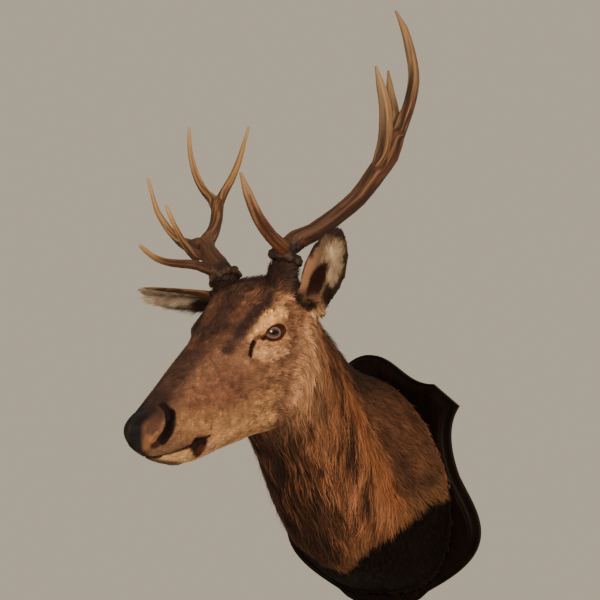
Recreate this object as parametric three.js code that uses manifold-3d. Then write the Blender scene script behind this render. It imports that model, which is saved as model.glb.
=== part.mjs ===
// Red deer stag shoulder mount on a shield board, life size.
// Millimetres, +Z up. The flat back of the board lies on the plane y = 0 and the deer looks
// towards -Y, so +X is the deer's left. z = 0 is the height of the shield's middle.
// Every solid of the hide reaches out to the tips of the coat.

import * as THREE from 'three';
import { mergeVertices } from 'three/addons/utils/BufferGeometryUtils.js';
import Module from 'manifold-3d';

const wasm = await Module();
wasm.setup();

// ---- Driving dimensions ----

const gap = 0.35; // clearance between neighbouring solids
const cutReach = 700; // size of the thin plates that part the hide, wider than the whole neck
const sliver = 0.08; // the smallest edge worth keeping on a cut solid

// Moulded edge of the board, from its flat back to its face: [depth, inset from the outline].
const board = { edge: [[0, 0], [11, 0], [13, 5], [15.5, 6], [20, 9.5], [23, 15], [24, 18]] };
const hideBack = -board.edge.at(-1)[0] - gap; // y where the cape rests on the board's face

// The shield's half outline in [x, z], from the top middle to the bottom tip. A pull bends the
// curve between the points beside it and isn't on the outline itself.
const shield = {
  top: [0, 259],
  crownPulls: [[58, 257], [72, 195]],
  shoulder: [132, 193],
  ear: [179, 149],
  waistPull: [143, 106],
  flank: [168, 22],
  hipPulls: [[182, -12], [201, -41]],
  bulge: [201, -73],
  bellyPulls: [[201, -125], [150, -156]],
  foot: [91, -187],
  notch: [74, -201],
  solePull: [28, -222],
  tip: [0, -250],
};

const head = {
  middle: [0, -470, 269], // halfway between the eyes
  pitch: 12.5, // degrees that the muzzle points down
};

// Cross-sections of the head, at distances forward of the eyes. ridge, rim, cheek and jaw each
// give a half-width and a height; top and bottom are heights on the middle line.
const headSections = [
  { at: -165, top: 27, ridge: [34, 17], rim: [66, -22], cheek: [76, -74], jaw: [50, -128], bottom: -148 },
  { at: -135, top: 63, ridge: [39, 54], rim: [75, 14], cheek: [84, -60], jaw: [57, -138], bottom: -160 },
  { at: -100, top: 81, ridge: [42, 75], rim: [78, 38], cheek: [87, -50], jaw: [60, -142], bottom: -163 },
  { at: -62, top: 83, ridge: [44, 78], rim: [77, 44], cheek: [84, -45], jaw: [58, -141], bottom: -161 },
  { at: -28, top: 73, ridge: [45, 67], rim: [77, 30], cheek: [80, -42], jaw: [53, -138], bottom: -157 },
  { at: 6, top: 53, ridge: [44, 46], rim: [73, 19], cheek: [73, -38], jaw: [47, -134], bottom: -153 },
  { at: 40, top: 33, ridge: [36, 27], rim: [60, 3], cheek: [66, -46], jaw: [43, -132], bottom: -150 },
  { at: 80, top: 15, ridge: [28, 10], rim: [47, -14], cheek: [56, -62], jaw: [39, -132], bottom: -149 },
  { at: 120, top: -2, ridge: [25, -6], rim: [39, -30], cheek: [47, -76], jaw: [35, -132], bottom: -148 },
  { at: 160, top: -19, ridge: [23, -24], rim: [35, -46], cheek: [42, -86], jaw: [31, -132], bottom: -149 },
  { at: 200, top: -39, ridge: [22, -44], rim: [35, -62], cheek: [39, -92], jaw: [26, -128], bottom: -144 },
  { at: 230, top: -55, ridge: [22, -60], rim: [37, -76], cheek: [37, -98], jaw: [22, -119], bottom: -131 },
  { at: 250, top: -63, ridge: [20, -67], rim: [33, -80], cheek: [32, -96], jaw: [19, -110], bottom: -118 },
  { at: 262, top: -72, ridge: [12, -75], rim: [19, -82], cheek: [19, -92], jaw: [11, -103], bottom: -107 },
];

const orbit = { at: [50, -8, 13], radii: [30, 36, 23] }; // bulge of the brow over each eye
const eye = { at: [58, 0, -1], radius: 19, turn: 60 }; // turn: degrees it looks out of straight ahead
const lids = { out: 18, radii: [20, 9, 13], tilt: 12 }; // the almond opening, and its slant in degrees
const pedicle = { foot: [43, -64, 36], radii: [38, 33, 26, 21] };
const nosePad = { at: [0, 270, -84], radii: [27, 24, 27] };
const mouth = { corner: 156, height: -118, lean: 35 }; // lean of the cut behind the chin, degrees

// Each ear is a leaf rolled into a trough. leaf gives, along its length, the half-width and how
// far each side curls round, in radians. along points to the tip, facing into the hollow.
const ears = {
  length: 152,
  wall: 8,
  leaf: [[0, 21, 1.9], [0.14, 24, 1.75], [0.3, 31, 1.45], [0.46, 36, 1.15], [0.62, 35, 1],
    [0.78, 30, 0.9], [0.9, 21, 0.85], [0.97, 12, 0.8], [1, 5, 0.8]],
  rimThinning: 0.35,
  left: { root: [83, -106, 31], along: [0.6, -0.5, 0.62], facing: [0.17, -0.72, -0.67] },
  right: { root: [-72, -110, 63], along: [-0.66, -0.75, 0.06], facing: [-0.08, -0.36, -0.93] },
};

// Neck and cape, from the board to the back of the skull. top and bottom are [y, z] on the
// middle line, half is the half-width, waist the share of the height where it is widest; low
// and high say how square the section is below and above that.
const neckSections = [
  { top: [hideBack, 220], bottom: [hideBack, -192], half: 160, waist: 0.42, low: 2.5, high: 1.75 },
  { top: [-80, 226], bottom: [-85, -168], half: 150, waist: 0.42, low: 2.3, high: 1.7 },
  { top: [-130, 238], bottom: [-150, -142], half: 135, waist: 0.42, low: 2.1, high: 1.7 },
  { top: [-180, 258], bottom: [-205, -108], half: 121, waist: 0.42, low: 2, high: 1.8 },
  { top: [-230, 288], bottom: [-250, -62], half: 111, waist: 0.43, low: 2, high: 1.9 },
  { top: [-276, 316], bottom: [-292, 0], half: 104, waist: 0.45, low: 2, high: 2 },
  { top: [-324, 336], bottom: [-340, 66], half: 97, waist: 0.46, low: 2, high: 2 },
  { top: [-366, 346], bottom: [-380, 112], half: 88, waist: 0.48, low: 2, high: 2 },
  { top: [-400, 330], bottom: [-410, 140], half: 66, waist: 0.5, low: 2, high: 2 },
];
const headCut = { nape: [-336, 352], throat: [-374, 112] };
const capeCut = { nape: [-140, 250], throat: [-246, -76] };

// The knobbly ring at the foot of an antler. profile: [share of the height, share of the radius].
const coronet = {
  radius: 26,
  height: 17,
  pearls: 9,
  pearl: 2.4,
  profile: [[-0.5, 0.8], [-0.3, 1], [0.15, 1.02], [0.5, 0.8]],
};

// Antlers: each limb is a smooth path with a radius at every point of it.
const antlers = {
  left: {
    coronet: { at: [63, -418, 389], axis: [0.35, 0.1, 0.93] },
    beam: {
      path: [[63, -420, 380], [66, -417, 400], [79, -408, 415], [103, -393, 427],
        [135, -368, 455], [159, -346, 481], [183, -324, 520], [200, -304, 553],
        [209, -290, 589]],
      radius: [20, 18, 16, 14.5, 14, 14.5, 16, 15.5, 14],
    },
    brow_tine: {
      path: [[65, -420, 397], [73, -446, 401], [76, -482, 411], [83, -525, 428], [90, -563, 458],
        [92, -582, 483]],
      radius: [13, 11, 8.5, 7.5, 5.5, 2],
    },
    trez_tine: {
      path: [[189, -330, 530], [204, -338, 554], [216, -349, 580], [223, -362, 612],
        [224, -375, 642], [223, -388, 670]],
      radius: [10, 9.5, 9, 8, 6, 2],
    },
    main_top: {
      path: [[207, -292, 578], [217, -280, 612], [224, -272, 632], [232, -262, 669],
        [234, -257, 697], [231, -256, 737], [224, -258, 778], [212, -261, 813]],
      radius: [13, 11.5, 10, 8.8, 8, 6.8, 5, 2],
    },
    rear_top: {
      path: [[205, -292, 579], [201, -276, 611], [190, -250, 647], [176, -222, 685],
        [164, -196, 740]],
      radius: [11, 9.5, 7.5, 6, 2],
    },
  },
  right: {
    coronet: { at: [-52, -418, 372], axis: [-0.4, 0.12, 0.9] },
    beam: {
      path: [[-48, -421, 359], [-54, -418, 379], [-80, -402, 403], [-112, -378, 428],
        [-135, -346, 452], [-144, -316, 472], [-153, -290, 494], [-167, -262, 524],
        [-178, -244, 548]],
      radius: [20, 18, 17, 17, 15, 12.5, 11.5, 11.5, 12.5],
    },
    brow_tine: {
      path: [[-55, -420, 381], [-61, -440, 384], [-67, -455, 386], [-73, -468, 389],
        [-84, -484, 390], [-92, -508, 390], [-95, -537, 393], [-94, -562, 400],
        [-90, -582, 407]],
      radius: [13, 11, 9.5, 9, 8, 7, 6, 4.5, 2],
    },
    bez_tine: {
      path: [[-117, -392, 415], [-128, -402, 427], [-133, -414, 441], [-134, -428, 457],
        [-137, -442, 481], [-140, -450, 501]],
      radius: [12, 9, 7, 6, 4.5, 2],
    },
    trez_tine: {
      path: [[-142, -368, 441], [-170, -366, 454], [-186, -362, 465], [-198, -363, 477],
        [-207, -368, 493], [-216, -376, 515], [-219, -385, 544], [-220, -394, 573]],
      radius: [14, 11, 9, 8, 7, 6, 4.5, 2],
    },
    main_top: {
      path: [[-174, -252, 536], [-191, -243, 560], [-203, -245, 573], [-216, -250, 599],
        [-223, -255, 630], [-225, -260, 665], [-221, -264, 701]],
      radius: [11, 10, 9, 8, 7, 5.5, 2],
    },
    rear_top: {
      path: [[-173, -252, 536], [-177, -240, 550], [-177, -222, 574], [-169, -208, 600],
        [-161, -194, 632], [-154, -182, 670], [-145, -172, 711]],
      radius: [11, 10, 9, 8, 7, 5.5, 2],
    },
  },
};
const palm = { at: [-132, -372, 443], radii: [24, 11, 15], turn: [0, 0, 0.5] };

// ---- Building blocks ----

const vector = (place) => new THREE.Vector3(...place);

// A level circle of points about the origin.
const circle = (around, radius) => Array.from({ length: around }, (_, i) => {
  const turn = (i / around) * Math.PI * 2;
  return new THREE.Vector3(Math.cos(turn) * radius, Math.sin(turn) * radius, 0);
});

// A closed solid from a stack of rings that all have the same number of points.
function loft(rings) {
  const around = rings[0].length;
  const positions = rings.flat().flatMap((p) => [p.x, p.y, p.z]);
  for (const ring of [rings[0], rings[rings.length - 1]]) {
    const centre = ring.reduce((sum, p) => sum.add(p), new THREE.Vector3());
    positions.push(...centre.divideScalar(around));
  }
  const firstCap = rings.length * around;
  const faces = [];
  for (let i = 0; i < around; i++) {
    const next = (i + 1) % around;
    const last = (rings.length - 1) * around;
    faces.push(firstCap, next, i, firstCap + 1, last + i, last + next);
    for (let row = 0; row < last; row += around) {
      faces.push(row + i, row + next, row + around + next);
      faces.push(row + i, row + around + next, row + around + i);
    }
  }
  const geometry = new THREE.BufferGeometry();
  geometry.setAttribute('position', new THREE.Float32BufferAttribute(positions, 3));
  geometry.setIndex(faces);
  return geometry;
}

// Six times the enclosed volume: negative when the faces point inwards.
function signedVolume(points, faces) {
  let volume = 0;
  const corner = (k) => new THREE.Vector3().fromArray(points, faces[k] * 3);
  for (let k = 0; k < faces.length; k += 3) {
    volume += corner(k).dot(corner(k + 1).cross(corner(k + 2)));
  }
  return volume;
}

function solid(geometry, placement = new THREE.Matrix4()) {
  const bare = geometry.clone().applyMatrix4(placement);
  bare.deleteAttribute('normal');
  bare.deleteAttribute('uv');
  const merged = mergeVertices(bare, 1e-4);
  const points = merged.attributes.position.array;
  const faces = Uint32Array.from(merged.index.array);
  if (signedVolume(points, faces) < 0) {
    faces.reverse();
  }
  return new wasm.Manifold(new wasm.Mesh({
    numProp: 3,
    vertProperties: Float32Array.from(points),
    triVerts: faces,
  }));
}

function ellipsoid(at, radii, placement = new THREE.Matrix4(), turn = [0, 0, 0], detail = [14, 8]) {
  const shape = new THREE.SphereGeometry(1, ...detail).scale(...radii);
  shape.applyMatrix4(new THREE.Matrix4().makeRotationFromEuler(new THREE.Euler(...turn)));
  return solid(shape.translate(...at), placement);
}

// A thin flat slit that parts a solid: it runs through two [y, z] points, across all of x.
function slit(upper, lower) {
  const along = new THREE.Vector3(0, upper[0] - lower[0], upper[1] - lower[1]).normalize();
  const middle = new THREE.Vector3(0, (upper[0] + lower[0]) / 2, (upper[1] + lower[1]) / 2);
  const across = new THREE.Vector3(1, 0, 0);
  const turn = new THREE.Matrix4().makeBasis(across, along, across.clone().cross(along));
  return solid(new THREE.BoxGeometry(cutReach, cutReach, gap), turn.setPosition(middle));
}

const group = new THREE.Group();

// Adds a named solid, once the slivers that its cuts left are closed up.
function addPart(name, body, material) {
  const mesh = body.asOriginal().simplify(sliver).getMesh();
  const geometry = new THREE.BufferGeometry();
  geometry.setAttribute('position', new THREE.BufferAttribute(Float32Array.from(mesh.vertProperties), 3));
  geometry.setIndex(new THREE.BufferAttribute(Uint32Array.from(mesh.triVerts), 1));
  const part = new THREE.Mesh(geometry, material);
  part.name = name;
  group.add(part);
}

const materials = {
  hide: new THREE.MeshStandardMaterial({ color: 0x8a6a47, roughness: 0.9 }),
  cape: new THREE.MeshStandardMaterial({ color: 0x8f5f38, roughness: 0.9 }),
  nose: new THREE.MeshStandardMaterial({ color: 0x1d1a1a, roughness: 0.4 }),
  eye: new THREE.MeshStandardMaterial({ color: 0x3a2414, roughness: 0.1 }),
  antler: new THREE.MeshStandardMaterial({ color: 0x9a7650, roughness: 0.6 }),
  wood: new THREE.MeshStandardMaterial({ color: 0x24140f, roughness: 0.35 }),
};

// ---- Shield board ----

function shieldShape() {
  const mirror = ([x, z]) => [-x, z];
  const { top, crownPulls, shoulder, ear, waistPull, flank, hipPulls, bulge, bellyPulls, foot,
    notch, solePull, tip } = shield;
  const shape = new THREE.Shape().moveTo(...top);
  shape.bezierCurveTo(...crownPulls[0], ...crownPulls[1], ...shoulder);
  shape.lineTo(...ear);
  shape.quadraticCurveTo(...waistPull, ...flank);
  shape.bezierCurveTo(...hipPulls[0], ...hipPulls[1], ...bulge);
  shape.bezierCurveTo(...bellyPulls[0], ...bellyPulls[1], ...foot);
  shape.lineTo(...notch);
  shape.quadraticCurveTo(...solePull, ...tip);
  shape.quadraticCurveTo(...mirror(solePull), ...mirror(notch));
  shape.lineTo(...mirror(foot));
  shape.bezierCurveTo(...mirror(bellyPulls[1]), ...mirror(bellyPulls[0]), ...mirror(bulge));
  shape.bezierCurveTo(...mirror(hipPulls[1]), ...mirror(hipPulls[0]), ...mirror(flank));
  shape.quadraticCurveTo(...mirror(waistPull), ...mirror(ear));
  shape.lineTo(...mirror(shoulder));
  shape.bezierCurveTo(...mirror(crownPulls[1]), ...mirror(crownPulls[0]), ...top);
  return shape;
}

// The outline moved inwards by the same distance everywhere, with mitred corners.
function inset(outline, distance) {
  const count = outline.length;
  return outline.map((point, i) => {
    const before = point.clone().sub(outline[(i + count - 1) % count]).normalize();
    const after = outline[(i + 1) % count].clone().sub(point).normalize();
    const inwards = new THREE.Vector2(before.y + after.y, -before.x - after.x);
    return point.clone().addScaledVector(inwards, distance / (1 + before.dot(after)));
  });
}

function boardSolid() {
  const outline = shieldShape().getPoints(5).slice(0, -1);
  return solid(loft(board.edge.map(([depth, distance]) => inset(outline, distance)
    .map((point) => new THREE.Vector3(point.x, -depth, point.y)))));
}

addPart('board', boardSolid(), materials.wood);

// ---- Head, with the bulges round the eyes and the feet of the antlers ----

const skull = new THREE.Matrix4()
  .makeRotationX(THREE.MathUtils.degToRad(head.pitch))
  .setPosition(vector(head.middle));

// In the head's own frame x is to its left, y is backwards and z is up. sign is -1 for the
// same place on its right side.
const inHead = ([left, forward, up], sign = 1) => [sign * left, -forward, up];

function headLoft(grow = 0) {
  const around = 30;
  const rings = headSections.map(({ at, top, ridge, rim, cheek, jaw, bottom }) => {
    const corner = ([half, height], sign, lift) =>
      new THREE.Vector3(sign * (half + grow), -at, height + lift);
    const outline = new THREE.CatmullRomCurve3([
      new THREE.Vector3(0, -at, top + grow),
      corner(ridge, 1, grow), corner(rim, 1, 0), corner(cheek, 1, 0), corner(jaw, 1, -grow),
      new THREE.Vector3(0, -at, bottom - grow),
      corner(jaw, -1, -grow), corner(cheek, -1, 0), corner(rim, -1, 0), corner(ridge, -1, grow),
    ], true, 'centripetal');
    return outline.getPoints(around).slice(0, -1);
  });
  return solid(loft(rings), skull);
}

const mirroredPair = (make) => make(1).add(make(-1));

// The bony stalk, covered with hide, that carries an antler.
function pedicleSolid(sign) {
  const around = 12;
  const foot = vector(inHead(pedicle.foot, sign)).applyMatrix4(skull);
  const { at, axis } = antlers[sign > 0 ? 'left' : 'right'].coronet;
  const top = vector(at).addScaledVector(vector(axis).normalize(), -coronet.height / 2);
  const rings = pedicle.radii.map((radius, step) => circle(around, radius)
    .map((point) => point.add(foot.clone().lerp(top, step / (pedicle.radii.length - 1)))));
  return solid(loft(rings));
}

function headSolid(grow = 0) {
  const swell = orbit.radii.map((radius) => radius + grow);
  return headLoft(grow)
    .add(mirroredPair((sign) => ellipsoid(inHead(orbit.at, sign), swell, skull)))
    .add(mirroredPair(pedicleSolid));
}

// ---- Neck and cape ----

function neckSolid(grow = 0) {
  const around = 28;
  const rings = neckSections.map(({ top, bottom, half, waist, low, high }) =>
    circle(around, 1).map((point) => {
      const power = 2 / (point.y < 0 ? low : high);
      const bend = (value) => Math.sign(value) * Math.abs(value) ** power;
      const height = bend(point.y);
      const share = waist + height * (height < 0 ? waist : 1 - waist);
      return new THREE.Vector3(
        bend(point.x) * (half + grow),
        THREE.MathUtils.lerp(bottom[0], top[0], share),
        THREE.MathUtils.lerp(bottom[1], top[1], share) + height * grow,
      );
    }));
  return solid(loft(rings));
}

// ---- Ears: cupped leaves, curled almost into a tube at the root ----

function earSolid({ root, along, facing }) {
  const axis = vector(along).normalize();
  const open = vector(facing);
  open.addScaledVector(axis, -open.dot(axis)).normalize();
  const side = axis.clone().cross(open);
  const start = vector(inHead(root)).applyMatrix4(skull);
  const steps = 9;
  const rings = ears.leaf.map(([share, half, curl]) => {
    const radius = half / Math.sin(Math.min(curl, Math.PI / 2));
    const wall = Math.min(ears.wall, half * 0.7);
    const spine = start.clone().addScaledVector(axis, share * ears.length);
    const arc = (turn, inset) => spine.clone()
      .addScaledVector(side, (radius - inset) * Math.sin(turn))
      .addScaledVector(open, radius - (radius - inset) * Math.cos(turn));
    const outer = Array.from({ length: steps }, (_, i) => arc(curl * (2 * i / (steps - 1) - 1), 0));
    const inner = Array.from({ length: steps - 2 }, (_, i) => {
      const turn = curl * (2 * (i + 1) / (steps - 1) - 1);
      return arc(turn, wall * (1 - ears.rimThinning * (turn / curl) ** 2));
    });
    return [...outer, ...inner.reverse()];
  });
  return solid(loft(rings));
}

// ---- Part the hide with thin cuts ----

// The main body of a cut solid, without the slivers that a cut leaves behind.
function mainBody(cut) {
  return cut.decompose().reduce((best, body) => (body.volume() > best.volume() ? body : best));
}

function eyeball(sign, grow = 0) {
  const radius = eye.radius + grow;
  return ellipsoid(inHead(eye.at, sign), [radius, radius, radius], skull);
}

// The almond hollow between the lids, in front of the eyeball.
function lidOpening(sign) {
  const turn = THREE.MathUtils.degToRad(eye.turn);
  const [left, forward, up] = eye.at;
  const centre = [left + Math.sin(turn) * lids.out, forward + Math.cos(turn) * lids.out, up];
  const slant = [0, sign * THREE.MathUtils.degToRad(lids.tilt), -sign * turn];
  return ellipsoid(inHead(centre, sign), lids.radii, skull, slant);
}

// A slit along the mouth, with a second one that rises from the throat to its corner.
function mouthSlit() {
  const reach = 200;
  const along = new THREE.BoxGeometry(reach, reach, gap)
    .translate(0, -mouth.corner - reach / 2, mouth.height);
  const rear = new THREE.BoxGeometry(reach, gap, reach / 2)
    .translate(0, 0, -reach / 4)
    .rotateX(THREE.MathUtils.degToRad(-mouth.lean))
    .translate(0, -mouth.corner, mouth.height);
  return solid(along, skull).add(solid(rear, skull));
}

function addHide() {
  const padCutter = ellipsoid(inHead(nosePad.at), nosePad.radii, skull);
  const padCore = nosePad.radii.map((radius) => radius - gap);
  const whole = headSolid()
    .add(neckSolid())
    .subtract(mirroredPair((sign) => eyeball(sign, gap).add(lidOpening(sign))));
  addPart('nose_pad', mainBody(whole.intersect(ellipsoid(inHead(nosePad.at), padCore, skull))),
    materials.nose);

  const pieces = whole.subtract(padCutter)
    .subtract(mouthSlit())
    .subtract(slit(headCut.nape, headCut.throat))
    .subtract(slit(capeCut.nape, capeCut.throat))
    .decompose();
  const forwards = (body) => -body.boundingBox().max[1];
  const [jaw, upper, middle, cape] = pieces.sort((a, b) => forwards(b) - forwards(a));
  addPart('lower_jaw', jaw, materials.hide);
  addPart('head', upper, materials.hide);
  addPart('neck', middle, materials.cape);
  addPart('cape', cape, materials.cape);
  if (pieces.length !== 4) {
    throw new Error(`the hide came apart into ${pieces.length} pieces`);
  }

  const hideAround = headSolid(gap).add(neckSolid(gap));
  for (const [name, sign] of [['left', 1], ['right', -1]]) {
    addPart(`ear_${name}`, mainBody(earSolid(ears[name]).subtract(hideAround)), materials.hide);
    addPart(`eye_${name}`, eyeball(sign), materials.eye);
  }
}

addHide();

// ---- Antlers, split at their main forks ----

// A round limb along a smooth path, thick and thin as its radii say. grow thickens it and
// pushes its two ends out.
function limb({ path, radius }, grow = 0) {
  const around = 8;
  const curve = new THREE.CatmullRomCurve3(path.map(vector), false, 'centripetal');
  const steps = (path.length - 1) * 2;
  const frames = curve.computeFrenetFrames(steps, false);
  const thickness = (share) => {
    const place = Math.min(share * (radius.length - 1), radius.length - 1 - 1e-9);
    const before = Math.floor(place);
    return THREE.MathUtils.lerp(radius[before], radius[before + 1], place - before) + grow;
  };
  const rings = Array.from({ length: steps + 1 }, (_, step) => {
    const centre = curve.getPoint(step / steps);
    const pushed = step === 0 ? -grow : step === steps ? grow : 0;
    centre.addScaledVector(frames.tangents[step], pushed);
    return circle(around, thickness(step / steps)).map((point) => centre.clone()
      .addScaledVector(frames.normals[step], point.x)
      .addScaledVector(frames.binormals[step], point.y));
  });
  return solid(loft(rings));
}

function coronetSolid({ at, axis }, grow = 0) {
  const upright = new THREE.Vector3(0, 0, 1);
  const turn = new THREE.Quaternion().setFromUnitVectors(upright, vector(axis).normalize());
  const rings = coronet.profile.map(([lift, share]) => circle(coronet.pearls * 2, 1)
    .map((point, i) => {
      const radius = coronet.radius * share + (i % 2 ? -coronet.pearl : coronet.pearl);
      return point.multiplyScalar(radius + grow).setZ(lift * (coronet.height + 2 * grow))
        .applyQuaternion(turn).add(vector(at));
    }));
  return solid(loft(rings));
}

function addAntler(side, extra) {
  const { coronet: ring, beam, ...tines } = antlers[side];
  const skullAround = headSolid(gap);
  const trunk = (grow) => extra(grow).reduce((sum, body) => sum.add(body), limb(beam, grow));
  const addLimb = (name, body) => addPart(`antler_${side}_${name}`, body, materials.antler);
  addLimb('beam', trunk(0).add(coronetSolid(ring)).subtract(skullAround));
  let taken = trunk(gap).add(coronetSolid(ring, gap)).add(skullAround);
  for (const [name, shape] of Object.entries(tines)) {
    addLimb(name, mainBody(limb(shape).subtract(taken)));
    taken = taken.add(limb(shape, gap));
  }
}

addAntler('left', () => []);
addAntler('right', (grow) => [
  ellipsoid(palm.at, palm.radii.map((radius) => radius + grow), undefined, palm.turn),
]);

export default group;
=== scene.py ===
"""Red deer stag shoulder mount on a mahogany shield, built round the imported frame."""
import heapq
import math

import bmesh
import bpy
import numpy as np
from mathutils import Matrix, Vector
from mathutils.bvhtree import BVHTree
from mathutils.geometry import interpolate_bezier


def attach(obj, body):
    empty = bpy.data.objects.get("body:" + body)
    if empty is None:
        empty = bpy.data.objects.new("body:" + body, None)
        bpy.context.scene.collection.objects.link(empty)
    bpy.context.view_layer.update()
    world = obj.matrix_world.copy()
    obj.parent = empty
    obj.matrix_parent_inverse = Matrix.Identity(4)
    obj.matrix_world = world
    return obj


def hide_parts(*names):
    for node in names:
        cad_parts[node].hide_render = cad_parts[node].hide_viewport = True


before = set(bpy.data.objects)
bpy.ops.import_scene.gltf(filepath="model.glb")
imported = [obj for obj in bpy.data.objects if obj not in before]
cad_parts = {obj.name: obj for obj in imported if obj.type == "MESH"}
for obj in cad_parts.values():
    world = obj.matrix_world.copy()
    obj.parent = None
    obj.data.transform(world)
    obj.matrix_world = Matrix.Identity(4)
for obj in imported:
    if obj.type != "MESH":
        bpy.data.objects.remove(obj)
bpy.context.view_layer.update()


# ---- Shield board ----
# A mahogany shield, sawn to a crested outline, with a step and a cove routed round its edge.
# It is stained almost black and varnished; its flat back hangs against the wall.

mm = 0.001  # in Blender's metres
board_half_outline = [  # (x, z) in mm from the top middle down to the tip, with the pulls of each curve
    ((0, 259), [(58, 257), (72, 195)]),
    ((132, 193), []),
    ((179, 149), [(143, 106)]),
    ((168, 22), [(182, -12), (201, -41)]),
    ((201, -73), [(201, -125), (150, -156)]),
    ((91, -187), []),
    ((74, -201), [(28, -222)]),
    ((0, -250), []),
]
board_edge_height = 11  # mm of square edge next to the wall
board_face = 24  # mm from the wall to the face
board_step = [(11.6, 0.7), (12.4, 4.6), (13.2, 5.2), (15.3, 5.6)]  # (mm from the wall, mm inward)
cove_foot = (16, 6.4)
cove_rise, cove_run = 7.4, 10.6
cove_steps = 8
curve_steps = 18  # points on each curve of the outline


def linear(colour, alpha=1.0):
    """A "#rrggbb" sRGB colour as the linear values that Blender's sockets take."""
    parts = [int(colour[i:i + 2], 16) / 255 for i in (1, 3, 5)]
    return [c / 12.92 if c <= 0.04045 else ((c + 0.055) / 1.055) ** 2.4 for c in parts] + [alpha]


def add(tree, kind, inputs=None, stops=(), **settings):
    """Adds one shader node with its settings. An input is a plain value or another node's output,
    and stops are the (place, "#rrggbb") colours of a ramp."""
    node = tree.nodes.new("ShaderNode" + kind)
    for name, value in settings.items():
        setattr(node, name, value)
    for socket, value in (inputs or {}).items():
        if isinstance(value, bpy.types.NodeSocket):
            tree.links.new(value, node.inputs[socket])
        else:
            node.inputs[socket].default_value = value
    if stops:
        elements = node.color_ramp.elements
        while len(elements) < len(stops):
            elements.new(0.5)
        for element, (place, colour) in zip(elements, stops):
            element.position = place
            element.color = linear(colour)
    return node


def blank_material(name):
    material = bpy.data.materials.new(name)
    material.use_nodes = True
    material.node_tree.nodes.clear()
    return material, material.node_tree


def make_piece(name, mesh, material, nodes=()):
    """Puts a finished mesh in the scene as a piece of the mount that stands for CAD nodes."""
    piece = bpy.data.objects.new(name, mesh)
    bpy.context.scene.collection.objects.link(piece)
    mesh.materials.append(material)
    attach(piece, "root")
    if nodes:
        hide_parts(*nodes)
    return piece


def unit(vectors):
    return vectors / np.maximum(np.linalg.norm(vectors, axis=-1, keepdims=True), 1e-9)


def near_path(spots, path):
    """Each spot's distance from a path, and how far along it the nearest point is, 0 to 1."""
    path = np.array(path, float)
    lengths = np.linalg.norm(np.diff(path, axis=0), axis=1)
    best = np.full(len(spots), 1e9)
    share = np.zeros(len(spots))
    for i, (start, end) in enumerate(zip(path, path[1:])):
        along = np.clip((spots - start) @ (end - start) / lengths[i] ** 2, 0, 1)
        distance = np.linalg.norm(spots - start - along[:, None] * (end - start), axis=1)
        nearer = distance < best
        best[nearer] = distance[nearer]
        share[nearer] = (lengths[:i].sum() + along[nearer] * lengths[i]) / lengths.sum()
    return best, share


def board_outline():
    points = []
    for (start, pulls), (end, _) in zip(board_half_outline, board_half_outline[1:]):
        a, b = Vector(start), Vector(end)
        if not pulls:
            points.append(a)
            continue
        handles = [Vector(pull) for pull in pulls]
        if len(handles) == 1:
            handles = [a.lerp(handles[0], 2 / 3), b.lerp(handles[0], 2 / 3)]
        points += interpolate_bezier(a, *handles, b, curve_steps)[:-1]
    tip = Vector(board_half_outline[-1][0])
    return np.array([p[:] for p in points + [tip] + [Vector((-p.x, p.y)) for p in points[:0:-1]]])


def inset(outline, by):
    """The outline moved inward; points that the move carries past a corner close up in it."""
    way_in = unit(outline - np.roll(outline, 1, axis=0))
    way_out = np.roll(way_in, -1, axis=0)
    inward = way_in[:, ::-1] * (1, -1), way_out[:, ::-1] * (1, -1)
    mitre = (inward[0] + inward[1]) / (1 + (inward[0] * inward[1]).sum(axis=1, keepdims=True))
    moved = outline + by * mitre
    kept = near_path(moved, np.vstack([outline, outline[:1]]))[0] > by - 0.02
    for i in np.flatnonzero(~kept):
        before, after = i, i
        while not kept[before]:
            before -= 1
        while not kept[after]:
            after = (after + 1) % len(outline)
        sides = np.stack([way_out[before], way_in[after]], axis=1)
        moved[i] = moved[before] + np.linalg.solve(sides, moved[after] - moved[before])[0] * way_out[before]
    return moved


def board_mesh():
    outline = board_outline()
    cove = [(math.sin(t), 1 - math.cos(t)) for t in np.linspace(0, math.pi / 2, cove_steps)[1:]]
    profile = [(0, 0), (board_edge_height, 0), *board_step, cove_foot]
    profile += [(cove_foot[0] + cove_rise * rise, cove_foot[1] + cove_run * run) for rise, run in cove]
    profile.append((board_face, 18))
    bm = bmesh.new()
    rings = [[bm.verts.new((x * mm, -depth * mm, z * mm)) for x, z in inset(outline, by)]
             for depth, by in profile]
    for lower, upper in zip(rings, rings[1:]):
        for i in range(len(lower)):
            bm.faces.new((lower[i - 1], lower[i], upper[i], upper[i - 1]))
    bm.faces.new(rings[0])
    bm.faces.new(rings[-1])
    bmesh.ops.remove_doubles(bm, verts=bm.verts, dist=0.05 * mm)
    bmesh.ops.recalc_face_normals(bm, faces=bm.faces)
    mesh = bpy.data.meshes.new("board")
    bm.to_mesh(mesh)
    bm.free()
    mesh.shade_smooth()
    mesh.set_sharp_from_angle(angle=math.radians(28))
    return mesh


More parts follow.
